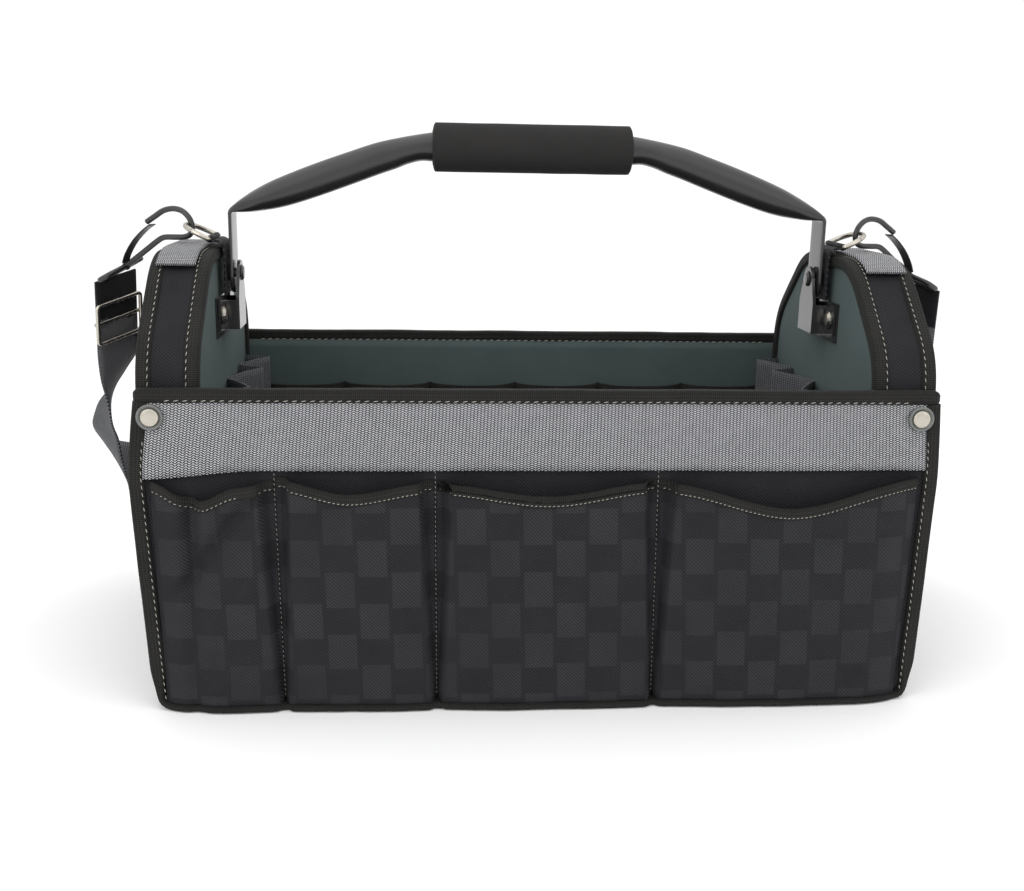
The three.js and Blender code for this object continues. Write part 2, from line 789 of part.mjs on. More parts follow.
// ---- Handle -------------------------------------------------------------------------------------------
function handleLeg() {
  const half = legWidth / 2;
  const shape = new THREE.Shape();
  shape.moveTo(half, pivotHeight);
  shape.lineTo(half, cornerHeight + 0.4);
  shape.lineTo(-half, cornerHeight + 0.4);
  shape.lineTo(-half, pivotHeight);
  shape.absarc(0, pivotHeight, half, Math.PI, 2 * Math.PI);
  const hole = rodAlongX(rivetRadius + gap, legInner - 1, legOuter + 1).translate(0, 0, pivotHeight);
  return cut(alongX(shape, legInner, legOuter, 8), hole);
}

// The pipe from corner to corner. It is squeezed a little where it bends beside the grip, and pressed flat
// towards each corner while it grows as wide as the leg.
function handlePipe() {
  const bendStart = new THREE.Vector3(gripLength / 2 + 4, 0, gripHeight);
  const bendEnd = new THREE.Vector3(gripLength / 2 + 28, 0, gripHeight - 4.4);
  const corner = new THREE.Vector3(legOuter - 0.2, 0, cornerHeight - 0.9);
  const knee = new THREE.Vector3(gripLength / 2 + 16, 0, gripHeight);
  const mirrored = (point) => new THREE.Vector3(-point.x, point.y, point.z);
  const route = new THREE.CurvePath();
  route.add(new THREE.LineCurve3(mirrored(corner), mirrored(bendEnd)));
  route.add(new THREE.QuadraticBezierCurve3(mirrored(bendEnd), mirrored(knee), mirrored(bendStart)));
  route.add(new THREE.LineCurve3(mirrored(bendStart), bendStart));
  route.add(new THREE.QuadraticBezierCurve3(bendStart, knee, bendEnd));
  route.add(new THREE.LineCurve3(bendEnd, corner));
  const pipe = tube(route, tubeDiameter / 2, 64, 14);
  const slope = (bendEnd.z - corner.z) / (corner.x - bendEnd.x);
  const places = pipe.attributes.position;
  for (let i = 0; i < places.count; i++) {
    const x = places.getX(i);
    const out = Math.abs(x);
    if (out <= foldRunIn) continue;
    const share = Math.min(1, (out - foldRunIn) / (corner.x - foldRunIn));
    const thin = Math.max(legThickness / tubeDiameter, 1 - share * share);
    const wide = 1 + (legWidth / tubeDiameter - 1) * share;
    const middle = corner.z + (corner.x - out) * slope;
    const height = middle + (places.getZ(i) - middle) * thin;
    places.setXYZ(i, Math.sign(x) * Math.min(out, corner.x), places.getY(i) * wide, height);
  }
  return pipe;
}

function handleTube() {
  const right = handleLeg();
  const left = handleLeg().rotateZ(Math.PI);
  return join(handlePipe(), right, left);
}

function handleGrip() {
  const half = gripLength / 2;
  const outer = gripDiameter / 2;
  const inner = tubeDiameter / 2 + gap;
  return turnedAlongX(
    [
      [-half, inner],
      [-half, outer - 1.5],
      [-half + 1.5, outer],
      [half - 1.5, outer],
      [half, outer - 1.5],
      [half, inner],
      [-half, inner],
    ],
    24,
  ).translate(0, 0, gripHeight);
}

// ---- The two ends and the whole bag -------------------------------------------------------------------
function endBox(side) {
  const outer = bagWidth / 2;
  const group = new THREE.Group();
  const inside = endInner + endBindingWidth;
  const outside = outer - endBindingWidth;
  group.add(node(side + "_panel_inner", innerPanel(), "lining"));
  group.add(node(side + "_panel_outer", endPanel(outer - panelSetBack - panelThickness), "cloth"));
  const strip = endArch(gussetSetBack, gussetSetBack + gussetThickness, inside + gap, outside - gap);
  group.add(node(side + "_gusset", strip, "cloth"));
  const binding = (low, high) => endArch(0, endBindingDepth, low, high);
  group.add(node(side + "_binding_inner", binding(endInner, inside), "binding"));
  group.add(node(side + "_binding_outer", binding(outside, outer), "binding"));
  group.add(node(side + "_crest_tape", crestTape(), "webbing"));
  group.add(node(side + "_ring_tab", ringTab(), "binding"));
  group.add(node(side + "_tool_loops", toolLoops(), "webbing"));
  group.add(node(side + "_hinge_plate", hingePlate(), "black_steel"));
  group.add(node(side + "_hinge_bracket", hingeBracket(), "black_steel"));
  for (const [place, sign] of [["rear", -1], ["front", 1]]) {
    const screw = node(side + "_hinge_screw_" + place, hingeScrew(), "nickel");
    screw.position.set(0, sign * screwSpread, screwHeight);
    group.add(screw);
  }
  const rivet = node(side + "_pivot_rivet", pivotRivet(), "black_steel");
  rivet.position.set(0, 0, pivotHeight);
  group.add(rivet);
  group.add(node(side + "_d_ring", dRing(), "nickel"));
  group.add(node(side + "_snap_hook", snapHook(), "black_steel"));
  group.add(node(side + "_gate_leaf", gateLeaf(), "black_steel"));
  group.add(node(side + "_strap", strapHalf(), "webbing"));
  return group;
}

function baseBoard() {
  const halfWidth = bagWidth / 2 - 1;
  const halfDepth = -wallBack + wallLean - gap - 0.2;
  return box([-halfWidth, halfWidth], [-halfDepth, halfDepth], [0, baseThickness]);
}

function toolBag() {
  const bag = new THREE.Group();
  bag.add(node("base_board", baseBoard(), "cloth"));
  bag.add(wall("rear"));
  const front = wall("front");
  front.add(node("front_inner_pockets", innerPockets(), "lining"));
  const turned = new THREE.Group();
  turned.rotation.z = Math.PI;
  turned.add(front);
  bag.add(turned);
  bag.add(endBox("right"));
  const left = endBox("left");
  left.add(node("strap_slider", slider(), "nickel"));
  left.scale.x = -1;
  bag.add(left);
  bag.add(node("handle_tube", handleTube(), "black_steel"));
  bag.add(node("handle_grip", handleGrip(), "foam"));
  return bag;
}

export default toolBag();
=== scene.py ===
"""Open-top tool tote with outer pockets, boxed ends, a folding pipe handle and a clip-on shoulder strap.

Sizes are in millimetres in the maker's own frame and become metres when a piece is made. +X is the right-hand
end, -Y the rear face, +Z up, and the origin is under the middle of the bag.
"""

import bisect
import logging
import math
from dataclasses import dataclass, field
from enum import Enum
from typing import Callable, Optional, Sequence

import bmesh
import bpy
from mathutils import Matrix, Vector, noise

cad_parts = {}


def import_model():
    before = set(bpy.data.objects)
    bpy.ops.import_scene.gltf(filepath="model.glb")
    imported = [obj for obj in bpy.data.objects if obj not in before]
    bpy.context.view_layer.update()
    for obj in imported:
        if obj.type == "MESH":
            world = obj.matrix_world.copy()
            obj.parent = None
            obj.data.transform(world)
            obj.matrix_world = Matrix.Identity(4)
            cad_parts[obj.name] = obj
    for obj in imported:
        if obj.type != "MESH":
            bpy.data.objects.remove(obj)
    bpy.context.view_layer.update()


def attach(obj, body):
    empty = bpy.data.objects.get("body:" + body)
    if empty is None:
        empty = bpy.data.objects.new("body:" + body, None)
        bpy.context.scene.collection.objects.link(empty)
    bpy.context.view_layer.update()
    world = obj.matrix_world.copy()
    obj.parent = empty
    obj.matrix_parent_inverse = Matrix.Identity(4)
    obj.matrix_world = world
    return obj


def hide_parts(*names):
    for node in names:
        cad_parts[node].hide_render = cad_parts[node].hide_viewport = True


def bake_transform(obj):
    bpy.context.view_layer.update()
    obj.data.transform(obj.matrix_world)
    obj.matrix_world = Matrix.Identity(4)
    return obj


LOG = logging.getLogger("tool_tote")
MM = 0.001
CURVE_STEPS = 6
Place = Callable[[float, float], Vector]
Colour = tuple[float, float, float]
Looks = Sequence[bpy.types.Material]


# ---- Shared choices and sizes -----------------------------------------------------------------------------


class Side(Enum):
    """The two long walls. The value turns the rear wall's own frame to the wall's place."""

    REAR = 1
    FRONT = -1

    @property
    def word(self) -> str:
        """The wall's name in piece names."""
        return self.name.lower()


class End(Enum):
    """The two boxed ends. The value mirrors the right-hand end across the middle."""

    LEFT = -1
    RIGHT = 1

    @property
    def word(self) -> str:
        """The end's name in piece names."""
        return self.name.lower()


@dataclass(frozen=True)
class BagSizes:
    """The overall sizes that the sub-assemblies share, in millimetres."""

    half_length: float = 231.0
    rim_height: float = 188.5
    rim_face: float = -111.0
    lean: float = 7.0
    wall_back: float = -106.0
    end_inner: float = 193.0
    end_crest: float = 257.0
    end_shoulder: float = 205.5
    end_half_depth: float = 105.5
    crest_width: float = 93.0
    grip_height: float = 320.0
    ring_bar_inset: float = 6.0
    ring_bar_height: float = 262.7
    left_reach: tuple[float, float] = (223.5, 228.2)
    right_reach: tuple[float, float] = (226.5, 230.4)
    widest: float = 232.8
    widest_height: float = 138.0
    top_height: float = 188.0

    def lean_at(self, height: float) -> float:
        """How far a wall's face has moved from its place at the rim, at a height."""
        return self.lean * (height / self.rim_height - 1.0)

    def reach(self, height: float, sign: int) -> float:
        """How far the bag reaches to the right or, with a sign of -1, to the left.

        Args:
            height: Above the floor.
            sign: 1 or -1.

        Returns:
            The distance from the middle. It is greatest at the band and least at the floor.
        """
        foot, top = self.left_reach if sign < 0 else self.right_reach
        if height < self.widest_height:
            return blend(foot, self.widest, (max(0.0, height) / self.widest_height) ** 0.9)
        return blend(self.widest, top, ease(self.widest_height, self.top_height, height))

    def tuck(self, height: float, sign: int) -> float:
        """How far an end's outer edge draws in towards the floor."""
        return max(0.0, self.half_length - self.reach(height, sign))


BAG = BagSizes()


# ---- Small mathematics ------------------------------------------------------------------------------------


def ease(low: float, high: float, value: float) -> float:
    """Smoothly rises from 0 to 1 while a value goes from low to high.

    Args:
        low: Where the rise starts.
        high: Where it ends.
        value: The value itself.

    Returns:
        A share from 0 to 1.
    """
    share = min(1.0, max(0.0, (value - low) / (high - low)))
    return share * share * (3.0 - 2.0 * share)


def blend(a: float, b: float, share: float) -> float:
    """The value that lies a share of the way from a to b."""
    return a + (b - a) * share


def ripple(x: float, y: float, seed: float, size: float) -> float:
    """Gentle random unevenness, from -1 to 1, whose waves are about size long."""
    return noise.noise(Vector((x / size, y / size, seed * 7.31)))


def rounded(share: float, half_width: float, half_height: float, squareness: float) -> tuple[float, float]:
    """A point on a rounded oblong.

    Args:
        share: How far round, from 0 to 1.
        half_width: Half the oblong's width.
        half_height: Half its height.
        squareness: 2 for an ellipse, more for a squarer shape.

    Returns:
        The point's place along the width and along the height.
    """
    angle = 2.0 * math.pi * share
    c, s = math.cos(angle), math.sin(angle)
    power = 2.0 / squareness
    return (
        math.copysign(half_width * abs(c) ** power, c),
        math.copysign(half_height * abs(s) ** power, s),
    )


class Route:
    """A line through points that can be read at any share of its length."""

    def __init__(self, points: Sequence[Vector], smooth: int = 0) -> None:
        """Keeps the points and the length up to each.

        Args:
            points: The points, in order.
            smooth: How many points a smooth curve puts between each two. 0 leaves straight lines.
        """
        self.points = self.curve(points, smooth) if smooth else [Vector(p) for p in points]
        self.marks = [0.0]
        for a, b in zip(self.points, self.points[1:]):
            self.marks.append(self.marks[-1] + (b - a).length)

    @staticmethod
    def curve(points: Sequence[Vector], smooth: int = CURVE_STEPS) -> list[Vector]:
        """Points on a smooth curve that passes through all the given ones."""
        pts = [Vector(p) for p in points]
        pts = [2 * pts[0] - pts[1], *pts, 2 * pts[-1] - pts[-2]]
        made = []
        for a, b, c, d in zip(pts, pts[1:], pts[2:], pts[3:]):
            for i in range(smooth):
                t = i / smooth
                made.append(
                    0.5
                    * (
                        2 * b
                        + (c - a) * t
                        + (2 * a - 5 * b + 4 * c - d) * t * t
                        + (3 * b - a - 3 * c + d) * t * t * t
                    )
                )
        made.append(pts[-2].copy())
        return made

    @property
    def length(self) -> float:
        """The line's whole length."""
        return self.marks[-1]

    def at(self, share: float) -> Vector:
        """The point at a share of the length."""
        want = min(1.0, max(0.0, share)) * self.length
        i = min(len(self.points) - 2, max(0, bisect.bisect_right(self.marks, want) - 1))
        span = self.marks[i + 1] - self.marks[i]
        return self.points[i].lerp(self.points[i + 1], (want - self.marks[i]) / span if span else 0.0)

    def along(self, share: float) -> Vector:
        """The unit direction of travel at a share of the length."""
        step = 1.5 / self.length
        return (self.at(share + step) - self.at(share - step)).normalized()


def rounded_route(corners: Sequence[tuple[float, float]], rounds: Sequence[float]) -> Route:
    """A flat route with its corners rounded, held in the first and last axes of its points.

    Args:
        corners: The corners, ends included.
        rounds: For each corner between the ends, how far back its rounding starts.

    Returns:
        The route, with 0 as the middle axis.
    """
    pts = [Vector((a, 0.0, b)) for a, b in corners]
    made = [pts[0]]
    for before, corner, after, back in zip(pts, pts[1:], pts[2:], rounds):
        start = corner + (before - corner).normalized() * back
        stop = corner + (after - corner).normalized() * back
        for i in range(9):
            t = i / 8
            made.append(start * (1 - t) ** 2 + corner * 2 * t * (1 - t) + stop * t * t)
    made.append(pts[-1])
    return Route(made)


# ---- Mesh making ------------------------------------------------------------------------------------------


def make_object(
    name: str,
    bm: bmesh.types.BMesh,
    body: str,
    materials: Looks,
    replaces: Sequence[str] = (),
    smooth: bool = True,
) -> bpy.types.Object:
    """Turns a bmesh in millimetres into a piece that rides on a body.

    Args:
        name: The piece's name.
        bm: Its shape, which is freed.
        body: The body that it moves with.
        materials: Its finishes.
        replaces: The CAD nodes that it stands for.
        smooth: Whether its faces are shaded smoothly.

    Returns:
        The piece.
    """
    bmesh.ops.scale(bm, verts=bm.verts, vec=(MM, MM, MM))
    mesh = bpy.data.meshes.new(name)
    bm.to_mesh(mesh)
    bm.free()
    for material in materials:
        mesh.materials.append(material)
    mesh.polygons.foreach_set("use_smooth", [smooth] * len(mesh.polygons))
    piece = bpy.data.objects.new(name, mesh)
    bpy.context.scene.collection.objects.link(piece)
    if body:
        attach(piece, body)
    if replaces:
        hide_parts(*replaces)
    LOG.info("%s: %d faces", name, len(mesh.polygons))
    return piece


def surface(
    steps: tuple[int, int],
    place: Place,
    extent: tuple[float, float] = (1.0, 1.0),
    flat_uv: Optional[Callable[[Vector], tuple[float, float]]] = None,
    closed: bool = False,
    mirror: bool = False,
) -> bmesh.types.BMesh:
    """A grid that is bent into a cloth, tape or tube.

    Args:
        steps: Faces along and across.
        place: Gives the place of each point from its two shares, each from 0 to 1.
        extent: The flat size along and across, which the pattern follows.
        flat_uv: Instead of extent, the pattern's own two coordinates from a point's place.
        closed: Whether the second share runs round a closed section, with its ends filled.
        mirror: Whether to turn the result to the left-hand end.

    Returns:
        The shape, in millimetres.
    """
    bm = bmesh.new()
    bmesh.ops.create_grid(bm, x_segments=steps[0], y_segments=steps[1], size=0.5)
    low = min(v.co.x for v in bm.verts)
    high = max(v.co.x for v in bm.verts)
    shares = {v: ((v.co.x - low) / (high - low), (v.co.y - low) / (high - low)) for v in bm.verts}
    layer = bm.loops.layers.uv.new("pattern")
    for vert, (along, across) in shares.items():
        vert.co = place(along, across)
    for face in bm.faces:
        for loop in face.loops:
            along, across = shares[loop.vert]
            if flat_uv:
                loop[layer].uv = flat_uv(loop.vert.co)
            else:
                loop[layer].uv = (along * extent[0], across * extent[1])
    if closed:
        bmesh.ops.remove_doubles(bm, verts=bm.verts, dist=0.0005)
        bmesh.ops.holes_fill(bm, edges=[e for e in bm.edges if e.is_boundary], sides=0)
        bmesh.ops.recalc_face_normals(bm, faces=bm.faces)
    if mirror:
        to_left(bm)
    return bm


def to_left(bm: bmesh.types.BMesh) -> None:
    """Turns a right-hand shape into its left-hand twin, with its faces still outwards."""
    bmesh.ops.scale(bm, verts=bm.verts, vec=(-1.0, 1.0, 1.0))
    bmesh.ops.reverse_faces(bm, faces=bm.faces)


def thicken(piece: bpy.types.Object, thickness: float, inside: int = 0) -> bpy.types.Object:
    """Gives a sheet its thickness, away from its outer face.

    Args:
        piece: The sheet.
        thickness: In millimetres.
        inside: How many material places the inner face is after the outer one.

    Returns:
        The piece.
    """
    modifier = piece.modifiers.new("thickness", "SOLIDIFY")
    modifier.thickness = thickness * MM
    modifier.offset = -1.0
    modifier.material_offset = inside
    return piece


def turned(profile: Sequence[tuple[float, float]], axis: Vector, centre: Vector) -> bmesh.types.BMesh:
    """A round part spun from a half profile.

    Args:
        profile: Pairs of the distance along the axis and the radius.
        axis: The axis's direction.
        centre: The point that distances along the axis are counted from.

    Returns:
        The shape, in millimetres, closed where its profile meets the axis or itself.
    """
    bm = bmesh.new()
    line = axis.normalized()
    out = line.orthogonal().normalized()
    verts = [bm.verts.new(centre + line * along + out * radius) for along, radius in profile]
    edges = [bm.edges.new(pair) for pair in zip(verts, verts[1:])]
    bmesh.ops.spin(
        bm,
        geom=[*verts, *edges],
        cent=centre,
        axis=line,
        angle=2 * math.pi,
        steps=40,
        use_merge=True,
    )
    bmesh.ops.remove_doubles(bm, verts=bm.verts, dist=0.001)
    bmesh.ops.recalc_face_normals(bm, faces=bm.faces)
    return bm


def wire(route: Route, radius: float, steps: int, closed: bool = False) -> bmesh.types.BMesh:
    """A round wire along a route.

    Args:
        route: The wire's middle line.
        radius: The wire's radius.
        steps: Faces along it.
        closed: Whether the route comes back to its start.

    Returns:
        The shape, in millimetres.
    """
    frames: list[tuple[Vector, Vector, Vector]] = []
    side = route.along(0.0).orthogonal().normalized()
    for i in range(steps + 1):
        forward = route.along(i / steps)
        if closed and i in (0, steps):
            forward = (route.at(1.5 / route.length) - route.at(1 - 1.5 / route.length)).normalized()
        side = (side - forward * side.dot(forward)).normalized()
        frames.append((route.at(i / steps), side.copy(), forward.cross(side)))
    if closed:
        frames[-1] = (frames[-1][0], frames[0][1], frames[0][2])

    def place(along: float, across: float) -> Vector:
        """A point on the wire's skin."""
        middle, out, up = frames[round(along * steps)]
        angle = 2 * math.pi * across
        return middle + out * (radius * math.cos(angle)) + up * (radius * math.sin(angle))

    return surface((steps, 14), place, (route.length, 2 * math.pi * radius), closed=True)


def add_shape(bm: bmesh.types.BMesh, other: bmesh.types.BMesh) -> None:
    """Adds another shape to a shape, and frees the other."""
    mesh = bpy.data.meshes.new("join")
    other.to_mesh(mesh)
    other.free()
    bm.from_mesh(mesh)
    bpy.data.meshes.remove(mesh)


@dataclass(frozen=True)
class Seam:
    """A row of small stitches that follows a line over a surface."""

    pitch: float = 4.0
    stitch: float = 2.6
    thread: float = 0.25

    def add(self, bm: bmesh.types.BMesh, place: Callable[[float], Vector], length: float, up: Vector) -> None:
        """Adds the stitches.

        Args:
            bm: The shape that they go into.
            place: The seam's line, read at shares of its length.
            length: The line's length.
            up: The surface's outward direction, or near it.
        """
        count = max(2, round(length / self.pitch))
        for i in range(count):
            middle = (i + 0.5) / count
            reach = 0.5 * self.stitch / length
            a, b = place(middle - reach), place(middle + reach)
            forward = (b - a).normalized()
            side = up.cross(forward).normalized()
            over = forward.cross(side)
            lean = forward * 0.985 + side * 0.17
            turn = Matrix((lean.normalized(), side, over)).transposed().to_4x4()
            size = Matrix.Diagonal((self.stitch / 2, self.thread, self.thread * 0.8, 1.0))
            spot = Matrix.Translation((a + b) / 2 + over * self.thread * 0.35)
            bmesh.ops.create_uvsphere(bm, u_segments=6, v_segments=5, radius=1.0, matrix=spot @ turn @ size)


# ---- Finishes ---------------------------------------------------------------------------------------------


class Graph:
    """A material's node tree, with short ways to add to it."""

    def __init__(self, name: str) -> None:
        """Makes an empty material with one shader."""
        self.material = bpy.data.materials.new(name)
        self.material.use_nodes = True
        self.nodes = self.material.node_tree.nodes
        self.links = self.material.node_tree.links
        self.nodes.clear()
        self.output = self.nodes.new("ShaderNodeOutputMaterial")
        self.shader = self.nodes.new("ShaderNodeBsdfPrincipled")
        self.links.new(self.shader.outputs["BSDF"], self.output.inputs["Surface"])

    def feed(self, socket: bpy.types.NodeSocket, value: object) -> None:
        """Links a socket or sets a plain value."""
        if isinstance(value, bpy.types.NodeSocket):
            self.links.new(value, socket)
        elif isinstance(value, tuple) and len(value) == 3 and len(socket.default_value) == 4:
            socket.default_value = (*value, 1.0)
        else:
            socket.default_value = value

    def sum(self, operation: str, *values: object) -> bpy.types.NodeSocket:
        """One arithmetic step.

        Args:
            operation: The Math node's operation.
            values: Sockets or numbers.

        Returns:
            The result's socket.
        """
        node = self.nodes.new("ShaderNodeMath")
        node.operation = operation
        for socket, value in zip(node.inputs, values):
            self.feed(socket, value)
        return node.outputs[0]

    def mix(self, share: object, a: object, b: object) -> bpy.types.NodeSocket:
        """A colour that goes from a to b."""
        node = self.nodes.new("ShaderNodeMix")
        node.data_type = "RGBA"
        self.feed(node.inputs["Factor"], share)
        self.feed(node.inputs[6], a)
        self.feed(node.inputs[7], b)
        return node.outputs[2]

    def flat(self) -> tuple[bpy.types.NodeSocket, bpy.types.NodeSocket]:
        """The cloth's own two coordinates, in millimetres."""
        node = self.nodes.new("ShaderNodeUVMap")
        node.uv_map = "pattern"
        split = self.nodes.new("ShaderNodeSeparateXYZ")
        self.links.new(node.outputs[0], split.inputs[0])
        return split.outputs[0], split.outputs[1]

    def noise(self, scale: float, detail: float) -> bpy.types.NodeSocket:
        """Soft random grain, by the piece's own place in space.

        Args:
            scale: Grains to a metre.
            detail: Finer layers.

        Returns:
            A value around 0.5.
        """
        place = self.nodes.new("ShaderNodeTexCoord")
        node = self.nodes.new("ShaderNodeTexNoise")
        node.inputs["Scale"].default_value = scale
        node.inputs["Detail"].default_value = detail
        self.links.new(place.outputs["Object"], node.inputs["Vector"])
        return node.outputs["Fac"]

    def wave(self, value: object, period: float) -> bpy.types.NodeSocket:
        """A smooth wave from 0 to 1 of a value in millimetres."""
        angle = self.sum("MULTIPLY", value, 2 * math.pi / period)
        return self.sum("MULTIPLY_ADD", self.sum("SINE", angle), 0.5, 0.5)

    def within(self, value: object, half: float, soft: float) -> bpy.types.NodeSocket:
        """1 where a value is nearer 0 than half, falling to 0 over soft."""
        node = self.nodes.new("ShaderNodeMapRange")
        self.feed(node.inputs["Value"], self.sum("ABSOLUTE", value))
        self.feed(node.inputs["From Min"], half + soft)
        self.feed(node.inputs["From Max"], half - soft)
        return node.outputs["Result"]

    def bump(self, height: object, depth: float, strength: float) -> None:
        """Raises the surface by a height of 0 to 1 times a depth in millimetres."""
        node = self.nodes.new("ShaderNodeBump")
        node.inputs["Strength"].default_value = strength
        node.inputs["Distance"].default_value = depth * MM
        self.feed(node.inputs["Height"], height)
        self.links.new(node.outputs[0], self.shader.inputs["Normal"])

    def set(self, **values: object) -> None:
        """Sets the shader's own sockets, with _ for each space."""
        for name, value in values.items():
            self.feed(self.shader.inputs[name.replace("_", " ")], value)


@dataclass(frozen=True)
class TwillCloth:
    """Near-black woven polyester, in twill with or without raised blocks."""

    name: str = "twill_cloth"
    dark: Colour = (0.0172, 0.0172, 0.0195)
    light: Colour = (0.040, 0.0405, 0.045)
    blocks: bool = True
    repeat_width: float = 37.7
    repeat_height: float = 37.4
    block_half_width: float = 8.2
    block_half_height: float = 10.6
    block_drift: float = 0.03
    line_pitch: float = 2.0925
    cross_pitch: float = 0.9

    def material(self) -> bpy.types.Material:
        """Builds the finish."""
        g = Graph(self.name)
        u, v = g.flat()
        slant = g.sum("ADD", u, v)
        lines = g.wave(slant, self.line_pitch)
        cross = g.wave(g.sum("SUBTRACT", u, v), self.cross_pitch)
        weave = g.sum("MULTIPLY_ADD", cross, 0.35, g.sum("MULTIPLY", lines, 0.65))
        share: object = 0.0
        if self.blocks:
            uneven = g.sum("MULTIPLY_ADD", g.noise(26.0, 2.0), 1.5, 0.05)
            share = g.sum("MULTIPLY_ADD", g.sum("MULTIPLY", self.raised(g, u, v), uneven), 0.85, 0.06)
        base = g.mix(share, self.dark, self.light)
        worn = g.noise(60.0, 4.0)
        shade = g.mix(g.sum("MULTIPLY", worn, 0.35), base, tuple(c * 1.5 for c in self.light))
        colour = g.mix(g.sum("MULTIPLY_ADD", weave, -0.85, 0.85), shade, (0.004, 0.004, 0.005))
        g.set(
            Base_Color=colour,
            Roughness=0.75,
            Sheen_Weight=0.01,
            Sheen_Roughness=0.5,
            Specular_IOR_Level=0.16,
        )
        g.bump(weave, 0.3, 0.9)
        return g.material

    def raised(self, g: Graph, u: object, v: object) -> bpy.types.NodeSocket:
        """Blocks in two sets, each half a repeat from the other, that stand taller than the gaps between."""
        found = None
        drift = g.sum("MULTIPLY_ADD", v, self.block_drift, u)
        wide, tall, soft = self.repeat_width, self.repeat_height, 0.3
        for shift in (0.0, 0.5):
            x = g.sum("FLOORED_MODULO", g.sum("ADD", drift, wide * shift), wide)
            z = g.sum("FLOORED_MODULO", g.sum("ADD", v, tall * shift), tall)
            across = g.within(g.sum("SUBTRACT", x, wide / 2), self.block_half_width, soft)
            upright = g.within(g.sum("SUBTRACT", z, tall / 2), self.block_half_height, soft)
            inside = g.sum("MULTIPLY", across, upright)
            found = inside if found is None else g.sum("MAXIMUM", found, inside)
        return found


@dataclass(frozen=True)
class ChevronWebbing:
    """Flat webbing whose threads lie in upright columns that slope one way and then the other."""

    name: str = "chevron_webbing"
    thread: Colour = (0.56, 0.565, 0.585)
    gap: Colour = (0.012, 0.012, 0.015)
    column: float = 1.95
    pitch: float = 1.25
    slant: float = 0.62

    def material(self) -> bpy.types.Material:
        """Builds the finish."""
        g = Graph(self.name)
        u, v = g.flat()
        place = g.sum("PINGPONG", u, self.column)
        slope = g.sum("MULTIPLY_ADD", place, self.slant, v)
        threads = g.wave(slope, self.pitch)
        ridge = g.wave(g.sum("ADD", u, self.column / 4), self.column)
        height = g.sum("MULTIPLY", threads, g.sum("MULTIPLY_ADD", ridge, 0.6, 0.4))
        mottle = g.noise(260.0, 3.0)
        share = g.sum("MULTIPLY_ADD", mottle, 0.4, g.sum("MULTIPLY_ADD", height, 2.3, -0.62))
        node = g.nodes.new("ShaderNodeClamp")
        g.feed(node.inputs[0], share)
        colour = g.mix(node.outputs[0], self.gap, self.thread)
        g.set(
            Base_Color=colour,
            Roughness=0.6,
            Sheen_Weight=0.02,
            Sheen_Roughness=0.4,
            Specular_IOR_Level=0.2,
        )
        g.bump(height, 0.5, 0.9)
        return g.material


@dataclass(frozen=True)
class RibbedTape:
    """Black binding tape with fine ribs across it and a row of knots on each."""

    name: str = "ribbed_tape"
    ridge: Colour = (0.0270, 0.0262, 0.0245)
    groove: Colour = (0.0016, 0.0016, 0.0015)
    rib_pitch: float = 1.2
    knot_pitch: float = 0.95

    def material(self) -> bpy.types.Material:
        """Builds the finish."""
        g = Graph(self.name)
        u, v = g.flat()
        wander = g.sum("MULTIPLY_ADD", g.noise(90.0, 2.0), 0.5, u)
        ribs = g.wave(wander, self.rib_pitch)
        knots = g.wave(v, self.knot_pitch)
        height = g.sum("MULTIPLY_ADD", knots, 0.4, g.sum("MULTIPLY", ribs, 0.6))
        worn = g.sum("MULTIPLY_ADD", g.noise(40.0, 3.0), 0.4, g.sum("MULTIPLY", height, 0.8))
        colour = g.mix(worn, self.groove, self.ridge)
        g.set(
            Base_Color=colour,
            Roughness=0.7,
            Sheen_Weight=0.01,
            Sheen_Roughness=0.5,
            Specular_IOR_Level=0.15,
        )
        g.bump(height, 0.5, 0.9)
        return g.material


@dataclass(frozen=True)
class PlainLining:
    """Dark green-grey lining in a fine plain weave."""

    name: str = "plain_lining"
    bright: Colour = (0.100, 0.128, 0.126)
    dim: Colour = (0.058, 0.078, 0.079)
    pitch: float = 0.8

    def material(self) -> bpy.types.Material:
        """Builds the finish."""
        g = Graph(self.name)
        u, v = g.flat()
        weave = g.sum("MULTIPLY", g.wave(u, self.pitch), g.wave(v, self.pitch))
        cloud = g.noise(30.0, 3.0)
        share = g.sum("MULTIPLY_ADD", cloud, 0.5, g.sum("MULTIPLY", weave, 0.6))
        g.set(
            Base_Color=g.mix(share, self.dim, self.bright),
            Roughness=0.85,
            Sheen_Weight=0.02,
            Sheen_Roughness=0.5,
            Specular_IOR_Level=0.15,
        )
        g.bump(weave, 0.12, 0.6)
        return g.material


@dataclass(frozen=True)
class SewingThread:
    """Pale twisted sewing thread."""

    name: str = "sewing_thread"
    colour: Colour = (0.44, 0.43, 0.37)

    def material(self) -> bpy.types.Material:
        """Builds the finish."""
        g = Graph(self.name)
        grain = g.noise(1400.0, 2.0)
        g.set(Base_Color=g.mix(grain, tuple(c * 0.7 for c in self.colour), self.colour), Roughness=0.6)
        g.bump(grain, 0.08, 0.5)
        return g.material


